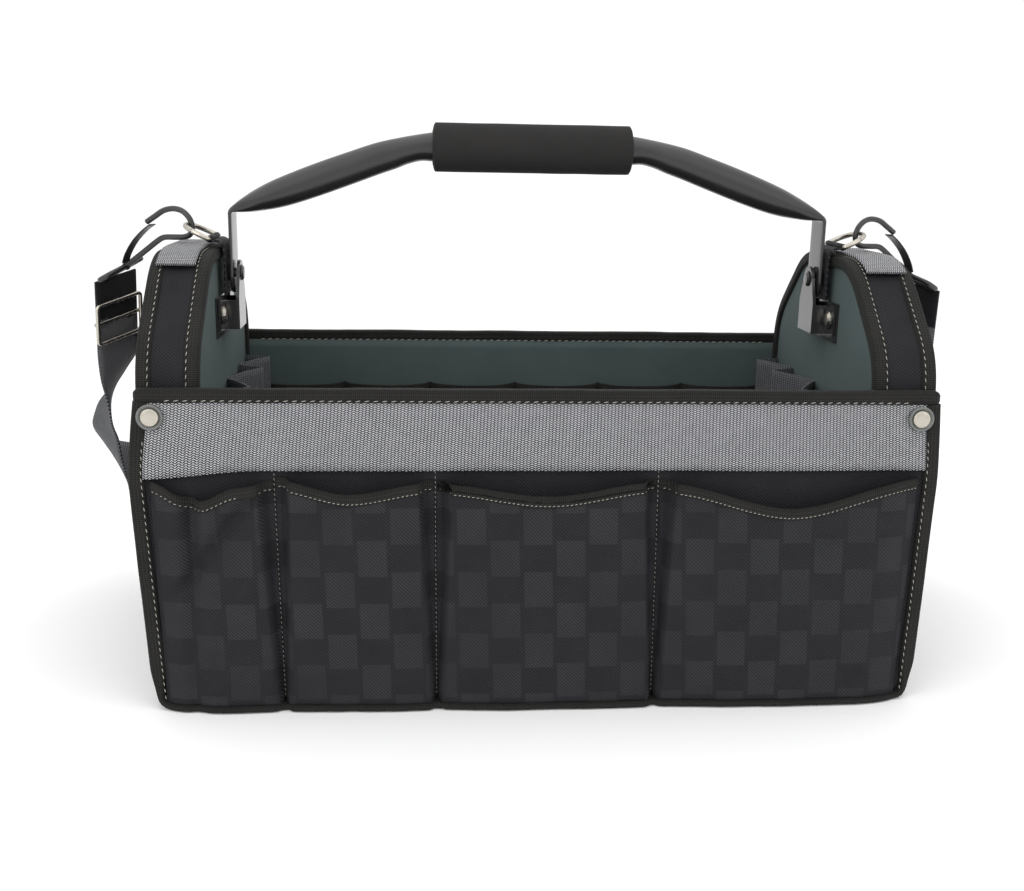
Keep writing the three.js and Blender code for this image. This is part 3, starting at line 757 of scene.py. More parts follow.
@dataclass(frozen=True)
class CoatedSteel:
    """Semi-gloss black powder coating with a faint orange-peel surface."""

    name: str = "coated_steel"
    colour: Colour = (0.0125, 0.012, 0.0125)
    roughness: float = 0.3

    def material(self) -> bpy.types.Material:
        """Builds the finish."""
        g = Graph(self.name)
        peel = g.noise(900.0, 2.0)
        scuff = g.noise(70.0, 5.0)
        rough = g.sum("MULTIPLY_ADD", scuff, 0.16, self.roughness - 0.06)
        tint = g.mix(scuff, self.colour, tuple(c * 1.6 for c in self.colour))
        g.set(
            Base_Color=tint,
            Roughness=rough,
            Specular_IOR_Level=0.5,
            Coat_Weight=0.15,
            Coat_Roughness=0.2,
        )
        g.bump(peel, 0.05, 0.35)
        return g.material


@dataclass(frozen=True)
class NickelPlate:
    """Bright nickel plating with light handling marks."""

    name: str = "nickel_plate"
    colour: Colour = (0.55, 0.515, 0.45)

    def material(self) -> bpy.types.Material:
        """Builds the finish."""
        g = Graph(self.name)
        marks = g.noise(300.0, 4.0)
        g.set(
            Base_Color=g.mix(marks, tuple(c * 0.8 for c in self.colour), self.colour),
            Metallic=1.0,
            Roughness=g.sum("MULTIPLY_ADD", marks, 0.2, 0.16),
        )
        g.bump(marks, 0.03, 0.2)
        return g.material


@dataclass(frozen=True)
class FoamSleeve:
    """Dense matte foam with a fine closed-cell skin."""

    name: str = "foam_sleeve"
    colour: Colour = (0.020, 0.019, 0.0185)

    def material(self) -> bpy.types.Material:
        """Builds the finish."""
        g = Graph(self.name)
        cells = g.noise(1500.0, 3.0)
        cloud = g.noise(60.0, 4.0)
        share = g.sum("MULTIPLY_ADD", cloud, 0.5, g.sum("MULTIPLY", cells, 0.5))
        colour = g.mix(share, tuple(c * 0.55 for c in self.colour), tuple(c * 1.35 for c in self.colour))
        g.set(
            Base_Color=colour,
            Roughness=0.85,
            Specular_IOR_Level=0.2,
            Sheen_Weight=0.01,
            Sheen_Roughness=0.6,
        )
        g.bump(cells, 0.25, 0.6)
        return g.material


@dataclass(frozen=True)
class ClearWasher:
    """Milky grey plastic of the stud washers."""

    name: str = "clear_washer"
    colour: Colour = (0.150, 0.158, 0.150)

    def material(self) -> bpy.types.Material:
        """Builds the finish."""
        g = Graph(self.name)
        cloud = g.noise(400.0, 2.0)
        tint = g.mix(cloud, tuple(c * 0.55 for c in self.colour), self.colour)
        g.set(
            Base_Color=tint,
            Roughness=0.25,
            Specular_IOR_Level=0.5,
            Coat_Weight=0.4,
            Coat_Roughness=0.1,
        )
        g.bump(cloud, 0.04, 0.3)
        return g.material


class Finishes:
    """Every finish of the bag, made once."""

    def __init__(self) -> None:
        """Builds the materials."""
        self.block_cloth = TwillCloth().material()
        self.plain_cloth = TwillCloth(name="plain_twill", blocks=False).material()
        self.webbing = ChevronWebbing().material()
        self.black_webbing = ChevronWebbing(
            "black_webbing", thread=(0.036, 0.037, 0.042), gap=(0.004, 0.004, 0.005)
        ).material()
        # A darker copy of the grey webbing for the tool loops: the shade inside the bag is painted into its
        # colour.
        self.loop_webbing = ChevronWebbing(
            "loop_webbing", thread=(0.20, 0.205, 0.215), gap=(0.006, 0.006, 0.008)
        ).material()
        self.strap_back = ChevronWebbing(
            "strap_back", thread=(0.19, 0.194, 0.208), gap=(0.008, 0.008, 0.010)
        ).material()
        self.strap_face = ChevronWebbing(
            "strap_face", thread=(0.40, 0.405, 0.42), gap=(0.02, 0.02, 0.023)
        ).material()
        self.tape = RibbedTape().material()
        self.lining = PlainLining().material()
        self.thread = SewingThread().material()
        self.steel = CoatedSteel().material()
        self.gloss_steel = CoatedSteel(
            "gloss_steel", colour=(0.020, 0.0195, 0.020), roughness=0.12
        ).material()
        self.washer = ClearWasher().material()
        self.nickel = NickelPlate().material()
        self.foam = FoamSleeve().material()


# ---- Outer pockets ----------------------------------------------------------------------------------------


SEAM_TOP = 132.0
OUTER_SEAM = 200.0


@dataclass(frozen=True)
class PocketCut:
    """One outer pocket: its two seams at their top and foot, its bulge and its mouth.

    Seams nearer the middle than OUTER_SEAM are sewn down in a pleat, and the others go under the edge tape.
    """

    number: int
    left: float
    right: float
    left_foot: float
    right_foot: float
    bulge: float
    mouth: tuple[tuple[float, float], ...]
    fold: Optional[float] = None

    def seam(self, share: float, height: float) -> float:
        """The place across the wall at a share of the pocket's width and a height."""
        up = min(1.0, height / SEAM_TOP)
        return blend(blend(self.left_foot, self.left, up), blend(self.right_foot, self.right, up), share)

    def mouth_height(self, share: float) -> float:
        """The mouth's height at a share of the width."""
        x = self.seam(share, SEAM_TOP)
        points = self.mouth
        if x <= points[0][0]:
            return points[0][1]
        for (x0, z0), (x1, z1) in zip(points, points[1:]):
            if x <= x1:
                return blend(z0, z1, ease(x0, x1, x))
        return points[-1][1]

    def stand_out(self, share: float, height: float) -> float:
        """How far the cloth stands out from the wall.

        Args:
            share: Across the pocket, from 0 to 1.
            height: Above the floor.

        Returns:
            The distance in millimetres.
        """
        x = self.seam(share, height)
        rise = height / self.mouth_height(share)
        width = self.right - self.left
        oval = 1.0 - 0.2 * abs(2 * share - 1) ** 2.5
        for distance, seam in ((share * width, self.left), ((1 - share) * width, self.right)):
            if abs(seam) < OUTER_SEAM:
                pleat = 6.2 * min(1.0, max(0.0, rise)) + 0.4
                oval *= ease(pleat - 1.0, pleat + 3.2, distance) ** 0.6
            else:
                oval *= (1.0 - max(0.0, 1.0 - distance / 30.0) ** 2.2) ** 0.7
        out = self.bulge * oval * (0.84 + 0.16 * ease(0.0, 0.5, rise) + 0.12 * ease(0.75, 1.0, rise))
        out += oval * 1.3 * ripple(x, height * 0.6, self.number, 36.0)
        out += oval * 0.35 * ripple(x, height, self.number + 9, 9.0)
        if self.fold is not None:
            beside = x - self.fold
            upright = math.exp(-((beside / 5.0) ** 2)) * (0.35 + 0.65 * ease(0.3, 1.0, rise))
            slope = beside - 26.0 - (height - 118.0) * 0.75
            slanted = 0.55 * math.exp(-((slope / 5.5) ** 2)) * ease(0.45, 0.62, rise) * ease(1.02, 0.9, rise)
            out -= 0.8 * min(1.0, upright + slanted) * out
        return out * ease(-2.0, 5.0, height)


# ---- Walls ------------------------------------------------------------------------------------------------


@dataclass
class Wall:
    """A long wall with everything sewn to it, modelled for the rear and turned for the front."""

    side: Side
    looks: Finishes
    foot: float = 4.0
    panel_top: float = 182.0
    panel_thickness: float = 5.0
    band_length: float = 442.0
    band_foot: float = 142.4
    band_top: float = 181.0
    webbing: float = 1.5
    cloth: float = 1.1
    pocket_foot: float = 3.6
    stud_spread: float = 219.0
    stud_height: float = 172.9
    pockets: tuple[PocketCut, ...] = (
        PocketCut(
            1, -221.2, -152.6, -216.4, -148.6, 9.5,
            ((-221, 136.0), (-194.5, 126.5), (-171, 134.5), (-152, 136.5)), fold=-198.0,
        ),
        PocketCut(2, -151.4, -62.2, -147.4, -60.6, 10.0, ((-151, 138.5), (-110, 130.8), (-66, 136.5))),
        PocketCut(3, -60.8, 66.4, -59.4, 67.0, 11.0, ((-60, 136.5), (3, 129.8), (64, 137.0))),
        PocketCut(4, 67.6, 221.2, 68.2, 216.4, 11.0, ((68, 137.0), (144.5, 122.0), (215, 137.5))),
    )

    def stand(self, x: float, y: float, z: float) -> Vector:
        """A point of the upright wall, leaned and turned to its place."""
        turn = self.side.value
        return Vector((turn * x, turn * (y + BAG.lean_at(z)), z))

    def reach(self, z: float, sign: int) -> float:
        """How far the wall reaches from the middle, towards the end of a sign of its own frame."""
        return BAG.reach(z, sign * self.side.value)

    def piece(
        self, part: str, bm: bmesh.types.BMesh, looks: Looks, slot: str, *nodes: str
    ) -> bpy.types.Object:
        """Makes one of the wall's pieces, which stands for the CAD nodes of the same wall."""
        word = self.side.word
        replaced = [f"{word}_{node}" for node in nodes]
        return make_object(f"{word}_{part}", bm, "bag", looks, replaced)

    def build(self) -> None:
        """Builds the whole wall."""
        self.build_panel()
        self.build_rim()
        self.build_edge()
        self.build_band()
        for cut in self.pockets:
            self.build_pocket(cut)
        self.build_snaps()
        self.build_seams()
        if self.side is Side.FRONT:
            self.build_pocket_row()

    def build_panel(self) -> None:
        """The wall's own cloth, with lining on its inner face."""

        def place(along: float, across: float) -> Vector:
            """A point on the outer face."""
            z = blend(self.foot, self.panel_top, across)
            x = blend(6.0 - self.reach(z, -1), self.reach(z, 1) - 6.0, along)
            puff = 0.5 * ripple(x, z, 3.0, 60.0)
            return self.stand(x, BAG.rim_face + 0.2 + puff * 0.4, z)

        bm = surface((90, 30), place, flat_uv=lambda p: (p.x, p.z))
        looks = [self.looks.plain_cloth, self.looks.lining]
        thicken(self.piece("wall_cloth", bm, looks, "cloth", "wall"), self.panel_thickness, inside=1)

    def build_rim(self) -> None:
        """The tape folded over the top."""
        middle_y = (BAG.rim_face - 2.2 + BAG.wall_back + 0.2) / 2
        half_depth = (BAG.wall_back + 0.2 - BAG.rim_face + 2.2) / 2

        def place(along: float, across: float) -> Vector:
            """A point on the tape."""
            x = blend(0.3 - self.reach(184.0, -1), self.reach(184.0, 1) - 0.3, along)
            near = min(along, 1.0 - along) * 460.0
            close = 1.0 - 0.45 * max(0.0, 1.0 - near / 3.2) ** 2.4
            y, z = rounded(across, half_depth * close, 4.15 * close, 4.5)
            sway = 0.35 * ripple(x, 0.0, 5.0, 40.0) + 0.15 * ripple(x, 3.0, 6.0, 11.0)
            return self.stand(x, middle_y + y + 0.3 * ripple(x, 8.0, 7.0, 30.0), 184.5 + z + sway)

        bm = surface((420, 28), place, (2 * BAG.half_length, 30.0), closed=True)
        self.piece("rim_tape", bm, [self.looks.tape], "binding", "rim_binding")

    def edge_route(self, inset: float, floor: float) -> Route:
        """The line of the edge tape's middle, at an inset from the bag's outline."""
        left = [(inset - self.reach(z, -1), z) for z in (181.0, 160.0, 138.0, 110.0, 60.0, floor)]
        right = [(self.reach(z, 1) - inset, z) for z in (floor, 60.0, 110.0, 138.0, 160.0, 181.0)]
        return rounded_route(left + right, (8.0, 8.0, 9.0, 15.0, 7.0, 7.0, 15.0, 9.0, 8.0, 8.0))

    def floor_bow(self, x: float) -> float:
        """How far the bag's lower edge bows out, following the pockets."""
        bow = 5.0 * max(0.0, 1.0 - (x / 222.0) ** 2) ** 0.5
        for cut in self.pockets:
            share = (x - cut.left_foot) / (cut.right_foot - cut.left_foot)
            if 0.0 < share < 1.0:
                bow = max(bow, cut.stand_out(share, 5.0) * 0.96)
        return bow

    def build_edge(self) -> None:
        """The tape down both edges and along the foot."""
        route = self.edge_route(4.3, 2.3)

        def place(along: float, across: float) -> Vector:
            """A point on the tape."""
            middle = route.at(along)
            forward = route.along(along)
            normal = Vector((-forward.z, 0.0, forward.x))
            low = 1.0 - ease(6.0, 26.0, middle.z)
            bow = self.floor_bow(middle.x) * low
            half = blend(4.4, 2.0, low)
            deep, wide = rounded(across, 3.7 + bow * 0.35, half, 4.0)
            y = (BAG.rim_face - 2.2 + BAG.wall_back) / 2 - bow * 0.62
            wobble = 0.25 * ripple(along * 800, 0.0, 11.0, 30.0)
            point = middle + normal * (wide + wobble * (1 - low))
            return self.stand(point.x, y + deep, max(0.15, point.z))

        bm = surface((340, 24), place, (route.length, 26.0), closed=True)
        self.piece("edge_tape", bm, [self.looks.tape], "binding", "edge_binding")

    def build_band(self) -> None:
        """The webbing under the rim. Its free lower edge stands off a little and dips at the left end."""

        def place(along: float, across: float) -> Vector:
            """A point on the outer face."""
            from_middle = self.band_length * (along - 0.5)
            z_low = self.band_foot - 4.6 * (1.0 - ease(-224.0, -158.0, from_middle))
            z_low += 0.4 * ripple(along * self.band_length, 0.0, 2.0, 50.0)
            z = blend(z_low, self.band_top, across)
            x = blend(8.4 - self.reach(z, -1), self.reach(z, 1) - 8.4, along)
            off = 0.25 + 0.9 * (1 - across) ** 2 * (1.0 + 0.5 * ripple(x, 0.0, 4.0, 45.0))
            return self.stand(x, BAG.rim_face - self.webbing - off, z)

        bm = surface((150, 10), place, (self.band_length, 38.5))
        thicken(self.piece("band_webbing", bm, [self.looks.webbing], "webbing", "band"), self.webbing)

    def build_pocket(self, cut: PocketCut) -> None:
        """One outer pocket, and the tape along its mouth.

        Args:
            cut: The pocket's pattern.
        """

        def skin(share: float, z: float, out: float = 0.0) -> Vector:
            """A point on the pocket's outer face, or out from it."""
            y = BAG.rim_face - 0.4 - cut.stand_out(share, z) - out
            return self.stand(cut.seam(share, z), y, z)

        def spread(along: float) -> float:
            """Puts more of the grid near the seams, where the cloth turns."""
            return 0.3 * along + 0.7 * (1 - math.cos(math.pi * along)) / 2

        def place(along: float, across: float) -> Vector:
            """A point on the outer face."""
            share = spread(along)
            return skin(share, blend(self.pocket_foot, cut.mouth_height(share) - 1.0, across))

        count, middle_height = 240, 70.0
        run = Route([skin(k / count, middle_height) for k in range(count + 1)]).marks

        def unrolled(point: Vector) -> tuple[float, float]:
            """The cloth's own two coordinates, with its length round the bulge and into the seams."""
            left, right = cut.seam(0.0, point.z), cut.seam(1.0, point.z)
            share = min(max((point.x * self.side.value - left) / (right - left), 0.0), 0.9999) * count
            length = blend(run[int(share)], run[int(share) + 1], share % 1.0)
            return (left + right) / 2 + length - run[count // 2], point.z

        width = cut.right - cut.left
        steps = max(60, int(width / 1.15))
        bm = surface((steps, 56), place, flat_uv=unrolled)
        name = f"pocket_{cut.number}"
        thicken(self.piece(name + "_cloth", bm, [self.looks.block_cloth], "cloth", name), self.cloth)

        def mouth(along: float, across: float) -> Vector:
            """A point on the mouth's tape."""
            share = blend(0.004, 0.996, along)
            top = cut.mouth_height(share)
            deep, tall = rounded(across, 1.25, 3.3, 5.0)
            return skin(share, top - 3.1, -0.55) + (self.stand(0, -deep, tall) - self.stand(0, 0, 0))

        bm = surface((steps, 20), mouth, (width, 16.0), closed=True)
        self.piece(name + "_mouth_tape", bm, [self.looks.tape], "binding")
        bm = bmesh.new()
        out = Vector((0.0, -self.side.value, 0.0))

        def line(along: float) -> Vector:
            """The mouth's row of stitches, just under the tape's middle."""
            share = blend(0.012, 0.988, along)
            return skin(share, cut.mouth_height(share) - 5.2, 0.75)

        Seam(pitch=2.6, stitch=1.75, thread=0.21).add(bm, line, width, out)
        self.piece(name + "_mouth_thread", bm, [self.looks.thread], "binding")

    def build_snaps(self) -> None:
        """The press studs at the band's ends."""
        washer = [(0.0, 4.6), (0.0, 7.4), (0.8, 7.5), (1.5, 7.2), (1.75, 6.8), (1.5, 6.3), (0.7, 5.7)]
        washer += [(0.6, 4.6), (0.0, 4.6)]
        cap = [(0.0, 0.0), (0.0, 5.2), (0.9, 5.3), (1.7, 4.9), (2.0, 4.5), (1.8, 4.2), (1.9, 3.9)]
        cap += [(2.1, 2.2), (2.1, 0.0)]
        out = Vector((0.0, -self.side.value, 0.0))
        for end in End:
            centre = self.stand(end.value * self.stud_spread, BAG.rim_face - 2.5, self.stud_height)
            name = f"snap_{end.word}"
            self.piece(name + "_washer", turned(washer, out, centre), [self.looks.washer], "nickel")
            self.piece(name + "_cap", turned(cap, out, centre), [self.looks.nickel], "nickel", name)

    def build_seams(self) -> None:
        """The rows of stitches along the rim, down the edges and down the pockets' seams."""
        bm = bmesh.new()
        out = Vector((0.0, -self.side.value, 0.0))
        face = BAG.rim_face - 2.35
        rim = Seam(pitch=5.0, stitch=3.3, thread=0.26)
        rim.add(bm, lambda s: self.stand(blend(-212.0, 212.0, s), face, 182.1), 424.0, out)
        back = BAG.wall_back + 0.35
        rim.add(bm, lambda s: self.stand(blend(186.0, -186.0, s), back, 182.1), 372.0, -out)
        edge = Seam(pitch=4.2, stitch=2.7, thread=0.24)
        for sign in (-1, 1):

            def side_line(share: float, sign: int = sign) -> Vector:
                """The row down one edge."""
                z = blend(6.0, 160.0, share)
                return self.stand(sign * (self.reach(z, sign) - 7.5), face - 0.25, z)

            edge.add(bm, side_line, 154.0, out)
        for cut in self.pockets[1:]:
            top = max(cut.mouth_height(0.0), 134.0)
            fine = Seam(pitch=2.9, stitch=1.7, thread=0.16)

            def valley(share: float, cut: PocketCut = cut, top: float = top) -> Vector:
                """The row between two pockets."""
                z = blend(7.0, top + 6.0, share)
                return self.stand(cut.seam(0.0, z) - 0.7, BAG.rim_face - 0.9, z)

            fine.add(bm, valley, top - 1.0, out)
        self.piece("wall_thread", bm, [self.looks.thread], "binding")

    def build_pocket_row(self) -> None:
        """The row of small pockets on the wall's inner face."""
        count, pitch, low, top = 6, 62.5, 100.0, 150.0

        def place(along: float, across: float) -> Vector:
            """A point on the row's inner face."""
            share = (along * count) % 1.0
            oval = max(0.0, 1.0 - abs(2 * share - 1) ** 2.4) ** 0.6
            z = blend(low, top - 1.2 * oval, across)
            bulge = 9.6 * oval * (0.55 + 0.45 * ease(0.0, 0.6, across))
            x = count * pitch * (0.5 - along)
            return self.stand(x, BAG.wall_back + 1.6 + bulge + 0.4 * ripple(x, z, 21.0, 18.0), z)

        bm = surface((180, 18), place, flat_uv=lambda p: (p.x, p.z))
        piece = self.piece("inner_pocket_row", bm, [self.looks.lining], "lining", "inner_pockets")
        thicken(piece, 1.3)

        def hem(along: float, across: float) -> Vector:
            """A point on the row's top tape."""
            middle = place(along, 1.0)
            deep, tall = rounded(across, 1.3, 2.6, 4.0)
            return middle + self.stand(0, deep - 0.6, tall - 1.4) - self.stand(0, 0, 0)

        bm = surface((180, 14), hem, (400.0, 14.0), closed=True)
        self.piece("inner_row_tape", bm, [self.looks.tape], "binding")


# ---- Boxed ends -------------------------------------------------------------------------------------------


@dataclass
class EndBox:
    """A boxed end: two panels joined by a gusset, with bound edges, the crest webbing, the ring's tab and the
    inner tool loops. Modelled for the right and mirrored for the left."""

    end: End
    looks: Finishes
    foot: float = 4.6
    binding_width: float = 9.2
    binding_depth: float = 7.2
    corner_round: float = 20.0
    tape_start: float = 201.5
    tape_width: float = 25.0
    tape_half: float = 55.0
    tab_width: float = 30.0
    loop_foot: float = 134.0
    loop_top: float = 172.0

    @property
    def mirror(self) -> bool:
        """Whether this is the left-hand end."""
        return self.end is End.LEFT

    def outline(self, inset: float, foot: Optional[float] = None) -> Route:
        """The box's outline in depth and height, from the front foot over the crest to the rear foot.

        Args:
            inset: How far inside the outline to run.
            foot: The height that it starts and ends at.

        Returns:
            A route whose first axis is the depth.
        """
        foot = self.foot if foot is None else foot
        run = BAG.crest_width / 2 - BAG.end_half_depth
        rise = BAG.end_crest - BAG.end_shoulder
        size = math.hypot(run, rise)
        nx, nz = rise / size, -run / size
        reach = nx * BAG.end_half_depth + nz * BAG.end_shoulder - inset
        side, crest = BAG.end_half_depth - inset, BAG.end_crest - inset
        low_z = (reach - nx * side) / nz
        high_y = (reach - nz * crest) / nx
        out = side + BAG.lean * (1 - foot / BAG.rim_height)
        half = [(out, foot), (side, low_z), (high_y, crest)]
        corners = half + [(-depth, height) for depth, height in reversed(half)]
        return rounded_route(corners, [self.corner_round] * 4)

    def piece(
        self, part: str, bm: bmesh.types.BMesh, looks: Looks, slot: str, *nodes: str
    ) -> bpy.types.Object:
        """Makes one of this end's pieces."""
        word = self.end.word
        return make_object(f"{word}_{part}", bm, "bag", looks, [f"{word}_{node}" for node in nodes])

    def build(self) -> None:
        """Builds the whole end."""
        self.build_panel("inner", BAG.end_inner + 2.5, -1)
        self.build_panel("outer", BAG.half_length - 2.5, 1)
        self.build_gusset()
        self.build_binding("inner", BAG.end_inner + self.binding_width / 2)
        self.build_binding("outer", BAG.half_length - self.binding_width / 2)
        self.build_crest_tape()
        self.build_tab()
        self.build_loops()
        self.build_seams()

    def build_panel(self, which: str, face: float, outwards: int) -> None:
        """One of the two panels.

        Args:
            which: inner or outer.
            face: The place of its visible face across the bag.
            outwards: 1 if that face looks away from the bag's middle, or -1.
        """
        route = self.outline(5.4)
        half = [p for p in route.points if p.x >= 0]
        tops = sorted((p.z, p.x) for p in half)

        def half_depth(z: float) -> float:
            """Half the panel's depth at a height."""
            i = min(len(tops) - 1, max(1, bisect.bisect_left(tops, (z, 0.0))))
            (z0, y0), (z1, y1) = tops[i - 1], tops[i]
            return blend(y0, y1, min(1.0, max(0.0, (z - z0) / (z1 - z0 or 1.0))))

        crest = tops[-1][0]

        def place(along: float, across: float) -> Vector:
            """A point on the visible face."""
            z = blend(self.foot, crest, across)
            y = outwards * (2 * along - 1) * half_depth(z)
            pillow = (1 - abs(2 * along - 1) ** 4) * (1 - abs(2 * across - 1) ** 4)
            x = face + outwards * pillow * (0.9 + 0.8 * ripple(y, z, 31.0 + outwards, 70.0))
            return Vector((self.drawn(x, z), y, z))

        bm = surface((40, 48), place, flat_uv=lambda p: (p.y, p.z), mirror=self.mirror)
        look = self.looks.lining if which == "inner" else self.looks.block_cloth
        slot = "lining" if which == "inner" else "cloth"
        thicken(self.piece(f"{which}_panel_cloth", bm, [look], slot, f"panel_{which}"), 3.0)

    def drawn(self, x: float, z: float) -> float:
        """The place across the bag after the end's outer edge has drawn in towards the floor."""
        return x - BAG.tuck(z, self.end.value) * ease(BAG.end_inner, BAG.half_length, x)

    def over(self, route: Route, share: float, x: float, out: float) -> Vector:
        """A point beside an outline.

        Args:
            route: The outline.
            share: How far along it.
            x: The place across the bag.
            out: How far outside the outline.

        Returns:
            The point.
        """
        middle = route.at(share)
        forward = route.along(share)
        return Vector((self.drawn(x, middle.z), middle.x + forward.z * out, middle.z - forward.x * out))

    def build_gusset(self) -> None:
        """The strip between the two bindings."""
        route = self.outline(1.5)
        low, high = BAG.end_inner + self.binding_width, BAG.half_length - self.binding_width

        def place(along: float, across: float) -> Vector:
            """A point on the outer face."""
            x = blend(low - 1.5, high + 1.5, across)
            sag = -0.9 * (1 - (2 * across - 1) ** 2) + 0.35 * ripple(along * 700, x, 41.0, 40.0)
            return self.over(route, along, x, sag)

        bm = surface((200, 10), place, (route.length, high - low), mirror=self.mirror)
        thicken(self.piece("gusset_cloth", bm, [self.looks.plain_cloth], "cloth", "gusset"), 2.4)

    def build_binding(self, which: str, middle: float) -> None:
        """The tape folded over one panel's edge.

        Args:
            which: inner or outer.
            middle: The tape's middle across the bag.
        """
        route = self.outline(self.binding_depth / 2)

        def place(along: float, across: float) -> Vector:
            """A point on the tape."""
            wide, deep = rounded(across, self.binding_width / 2, self.binding_depth / 2, 4.2)
            wobble = 0.25 * ripple(along * 700, wide, 51.0, 26.0)
            return self.over(route, along, middle + wide, deep + wobble)

        bm = surface((280, 24), place, (route.length, 30.0), closed=True, mirror=self.mirror)
        self.piece(f"{which}_edge_tape", bm, [self.looks.tape], "binding", f"binding_{which}")

    def share_at(self, route: Route, depth: float) -> float:
        """The share of an outline at which it reaches a depth."""
        low, high = 0.0, 1.0
        for _ in range(30):
            middle = (low + high) / 2
            if route.at(middle).x > depth:
                low = middle
            else:
                high = middle
        return low

    def build_crest_tape(self) -> None:
        """The grey webbing sewn over the crest."""
        route = self.outline(-1.9)
        first, last = self.share_at(route, self.tape_half), self.share_at(route, -self.tape_half)

        def place(along: float, across: float) -> Vector:
            """A point on the outer face."""
            lift = 0.3 * ease(0.9, 1.0, along) + 0.4 * ripple(along * 120, 0, 61.0, 30.0)
            x = self.tape_start + self.tape_width * across
            return self.over(route, blend(first, last, along), x, lift)

        bm = surface((60, 8), place, (122.0, self.tape_width), mirror=self.mirror)
        thicken(self.piece("crest_webbing", bm, [self.looks.webbing], "webbing", "crest_tape"), 1.5)

    def build_tab(self) -> None:
        """The black webbing that holds the ring: up the inner panel, over the crest and round the bar."""
        x, z = BAG.end_inner + BAG.ring_bar_inset, BAG.ring_bar_height
        points = [Vector((191.9, 0, 228.6)), Vector((191.7, 0, 240)), Vector((191.8, 0, 254.5))]
        points += [Vector((192.6, 0, 258.6)), Vector((195.2, 0, 260.3))]
        for i in range(11):
            angle = math.radians(-100 + i * 28)
            points.append(Vector((x + 2.9 * math.cos(angle), 0, z + 2.9 * math.sin(angle))))
        route = Route(points, smooth=3)

        def place(along: float, across: float) -> Vector:
            """A point on the face that looks towards the bag's middle."""
            middle = route.at(along)
            forward = route.along(along)
            y = (0.5 - across) * self.tab_width
            return Vector((middle.x - forward.z * 0.7, y, middle.z + forward.x * 0.7))

        bm = surface((70, 8), place, (route.length, self.tab_width), mirror=self.mirror)
        thicken(self.piece("ring_tab_webbing", bm, [self.looks.black_webbing], "binding", "ring_tab"), 1.3)

    def build_loops(self) -> None:
        """The webbing sewn to the inner panel at five places, standing out in a loop between each two."""
        seams = (99.0, 60.0, 12.0, -38.0, -83.0)
        peaks = (86.0, 45.0, -21.0, -61.0)
        reach = 18.5
        face = BAG.end_inner + 2.1
        points = []
        for seam, peak in zip(seams, peaks):
            points += [Vector((face, seam, 0)), Vector((face - 1.2, seam - 3.0, 0))]
            points += [Vector((face - reach * 0.86, peak + 4.5, 0)), Vector((face - reach, peak, 0))]
            points.append(Vector((face - reach * 0.86, peak - 5.0, 0)))
            points.append(Vector((face - reach * 0.45, peak - 17.0, 0)))
        points += [Vector((face - 1.0, seams[-1] + 2.0, 0)), Vector((face, seams[-1] - 5.0, 0))]
        route = Route(points, smooth=4)

        def place(along: float, across: float) -> Vector:
            """A point on the face that looks towards the bag's middle."""
            middle = route.at(along)
            droop = 1.5 * ripple(middle.y, 0.0, 71.0, 30.0)
            z = blend(self.loop_foot, self.loop_top, across) + droop * across
            return Vector((middle.x, middle.y, z))

        width = self.loop_top - self.loop_foot
        bm = surface((170, 8), place, (route.length, width), mirror=self.mirror)
        # The loops take the darker webbing copy, which has the shade inside the bag painted into its colour.
        thicken(self.piece("loop_webbing", bm, [self.looks.loop_webbing], "webbing", "tool_loops"), 1.4)

    def build_seams(self) -> None:
        """The rows of stitches on the bindings, the crest webbing and the loops."""
        bm = bmesh.new()
        up = Vector((0.0, 0.0, 1.0))
        seam = Seam(pitch=4.4, stitch=2.8, thread=0.25)
        outer, count = self.outline(0.0, 14.0), 24
        rows = (BAG.end_inner + self.binding_width - 1.9, BAG.half_length - self.binding_width + 1.9)
        for x in rows:
            for i in range(count):

                def line(share: float, i: int = i, x: float = x) -> Vector:
                    """One stretch of a row."""
                    return self.over(outer, (i + share) / count, x, 0.15)

                forward = outer.along((i + 0.5) / count)
                normal = Vector((0.0, forward.z, -forward.x))
                seam.add(bm, line, outer.length / count, normal)
        back = self.outline(5.6, 14.0)
        face = BAG.half_length + 0.1
        seam.add(bm, lambda s: self.over(back, s, face, 0.0), back.length, Vector((1.0, 0.0, 0.0)))
        crest = self.outline(-2.1)
        for depth in (-52.0, 52.0, -18.0, 18.0):
            share = self.share_at(crest, depth)
            across = Seam(pitch=2.8, stitch=1.8, thread=0.2)
            across.add(bm, lambda s: self.over(crest, share, blend(202.5, 225.5, s), 0.35), 23.0, up)
        if self.mirror:
            to_left(bm)
        self.piece("box_thread", bm, [self.looks.thread], "binding")


# ---- Handle and its hinges --------------------------------------------------------------------------------


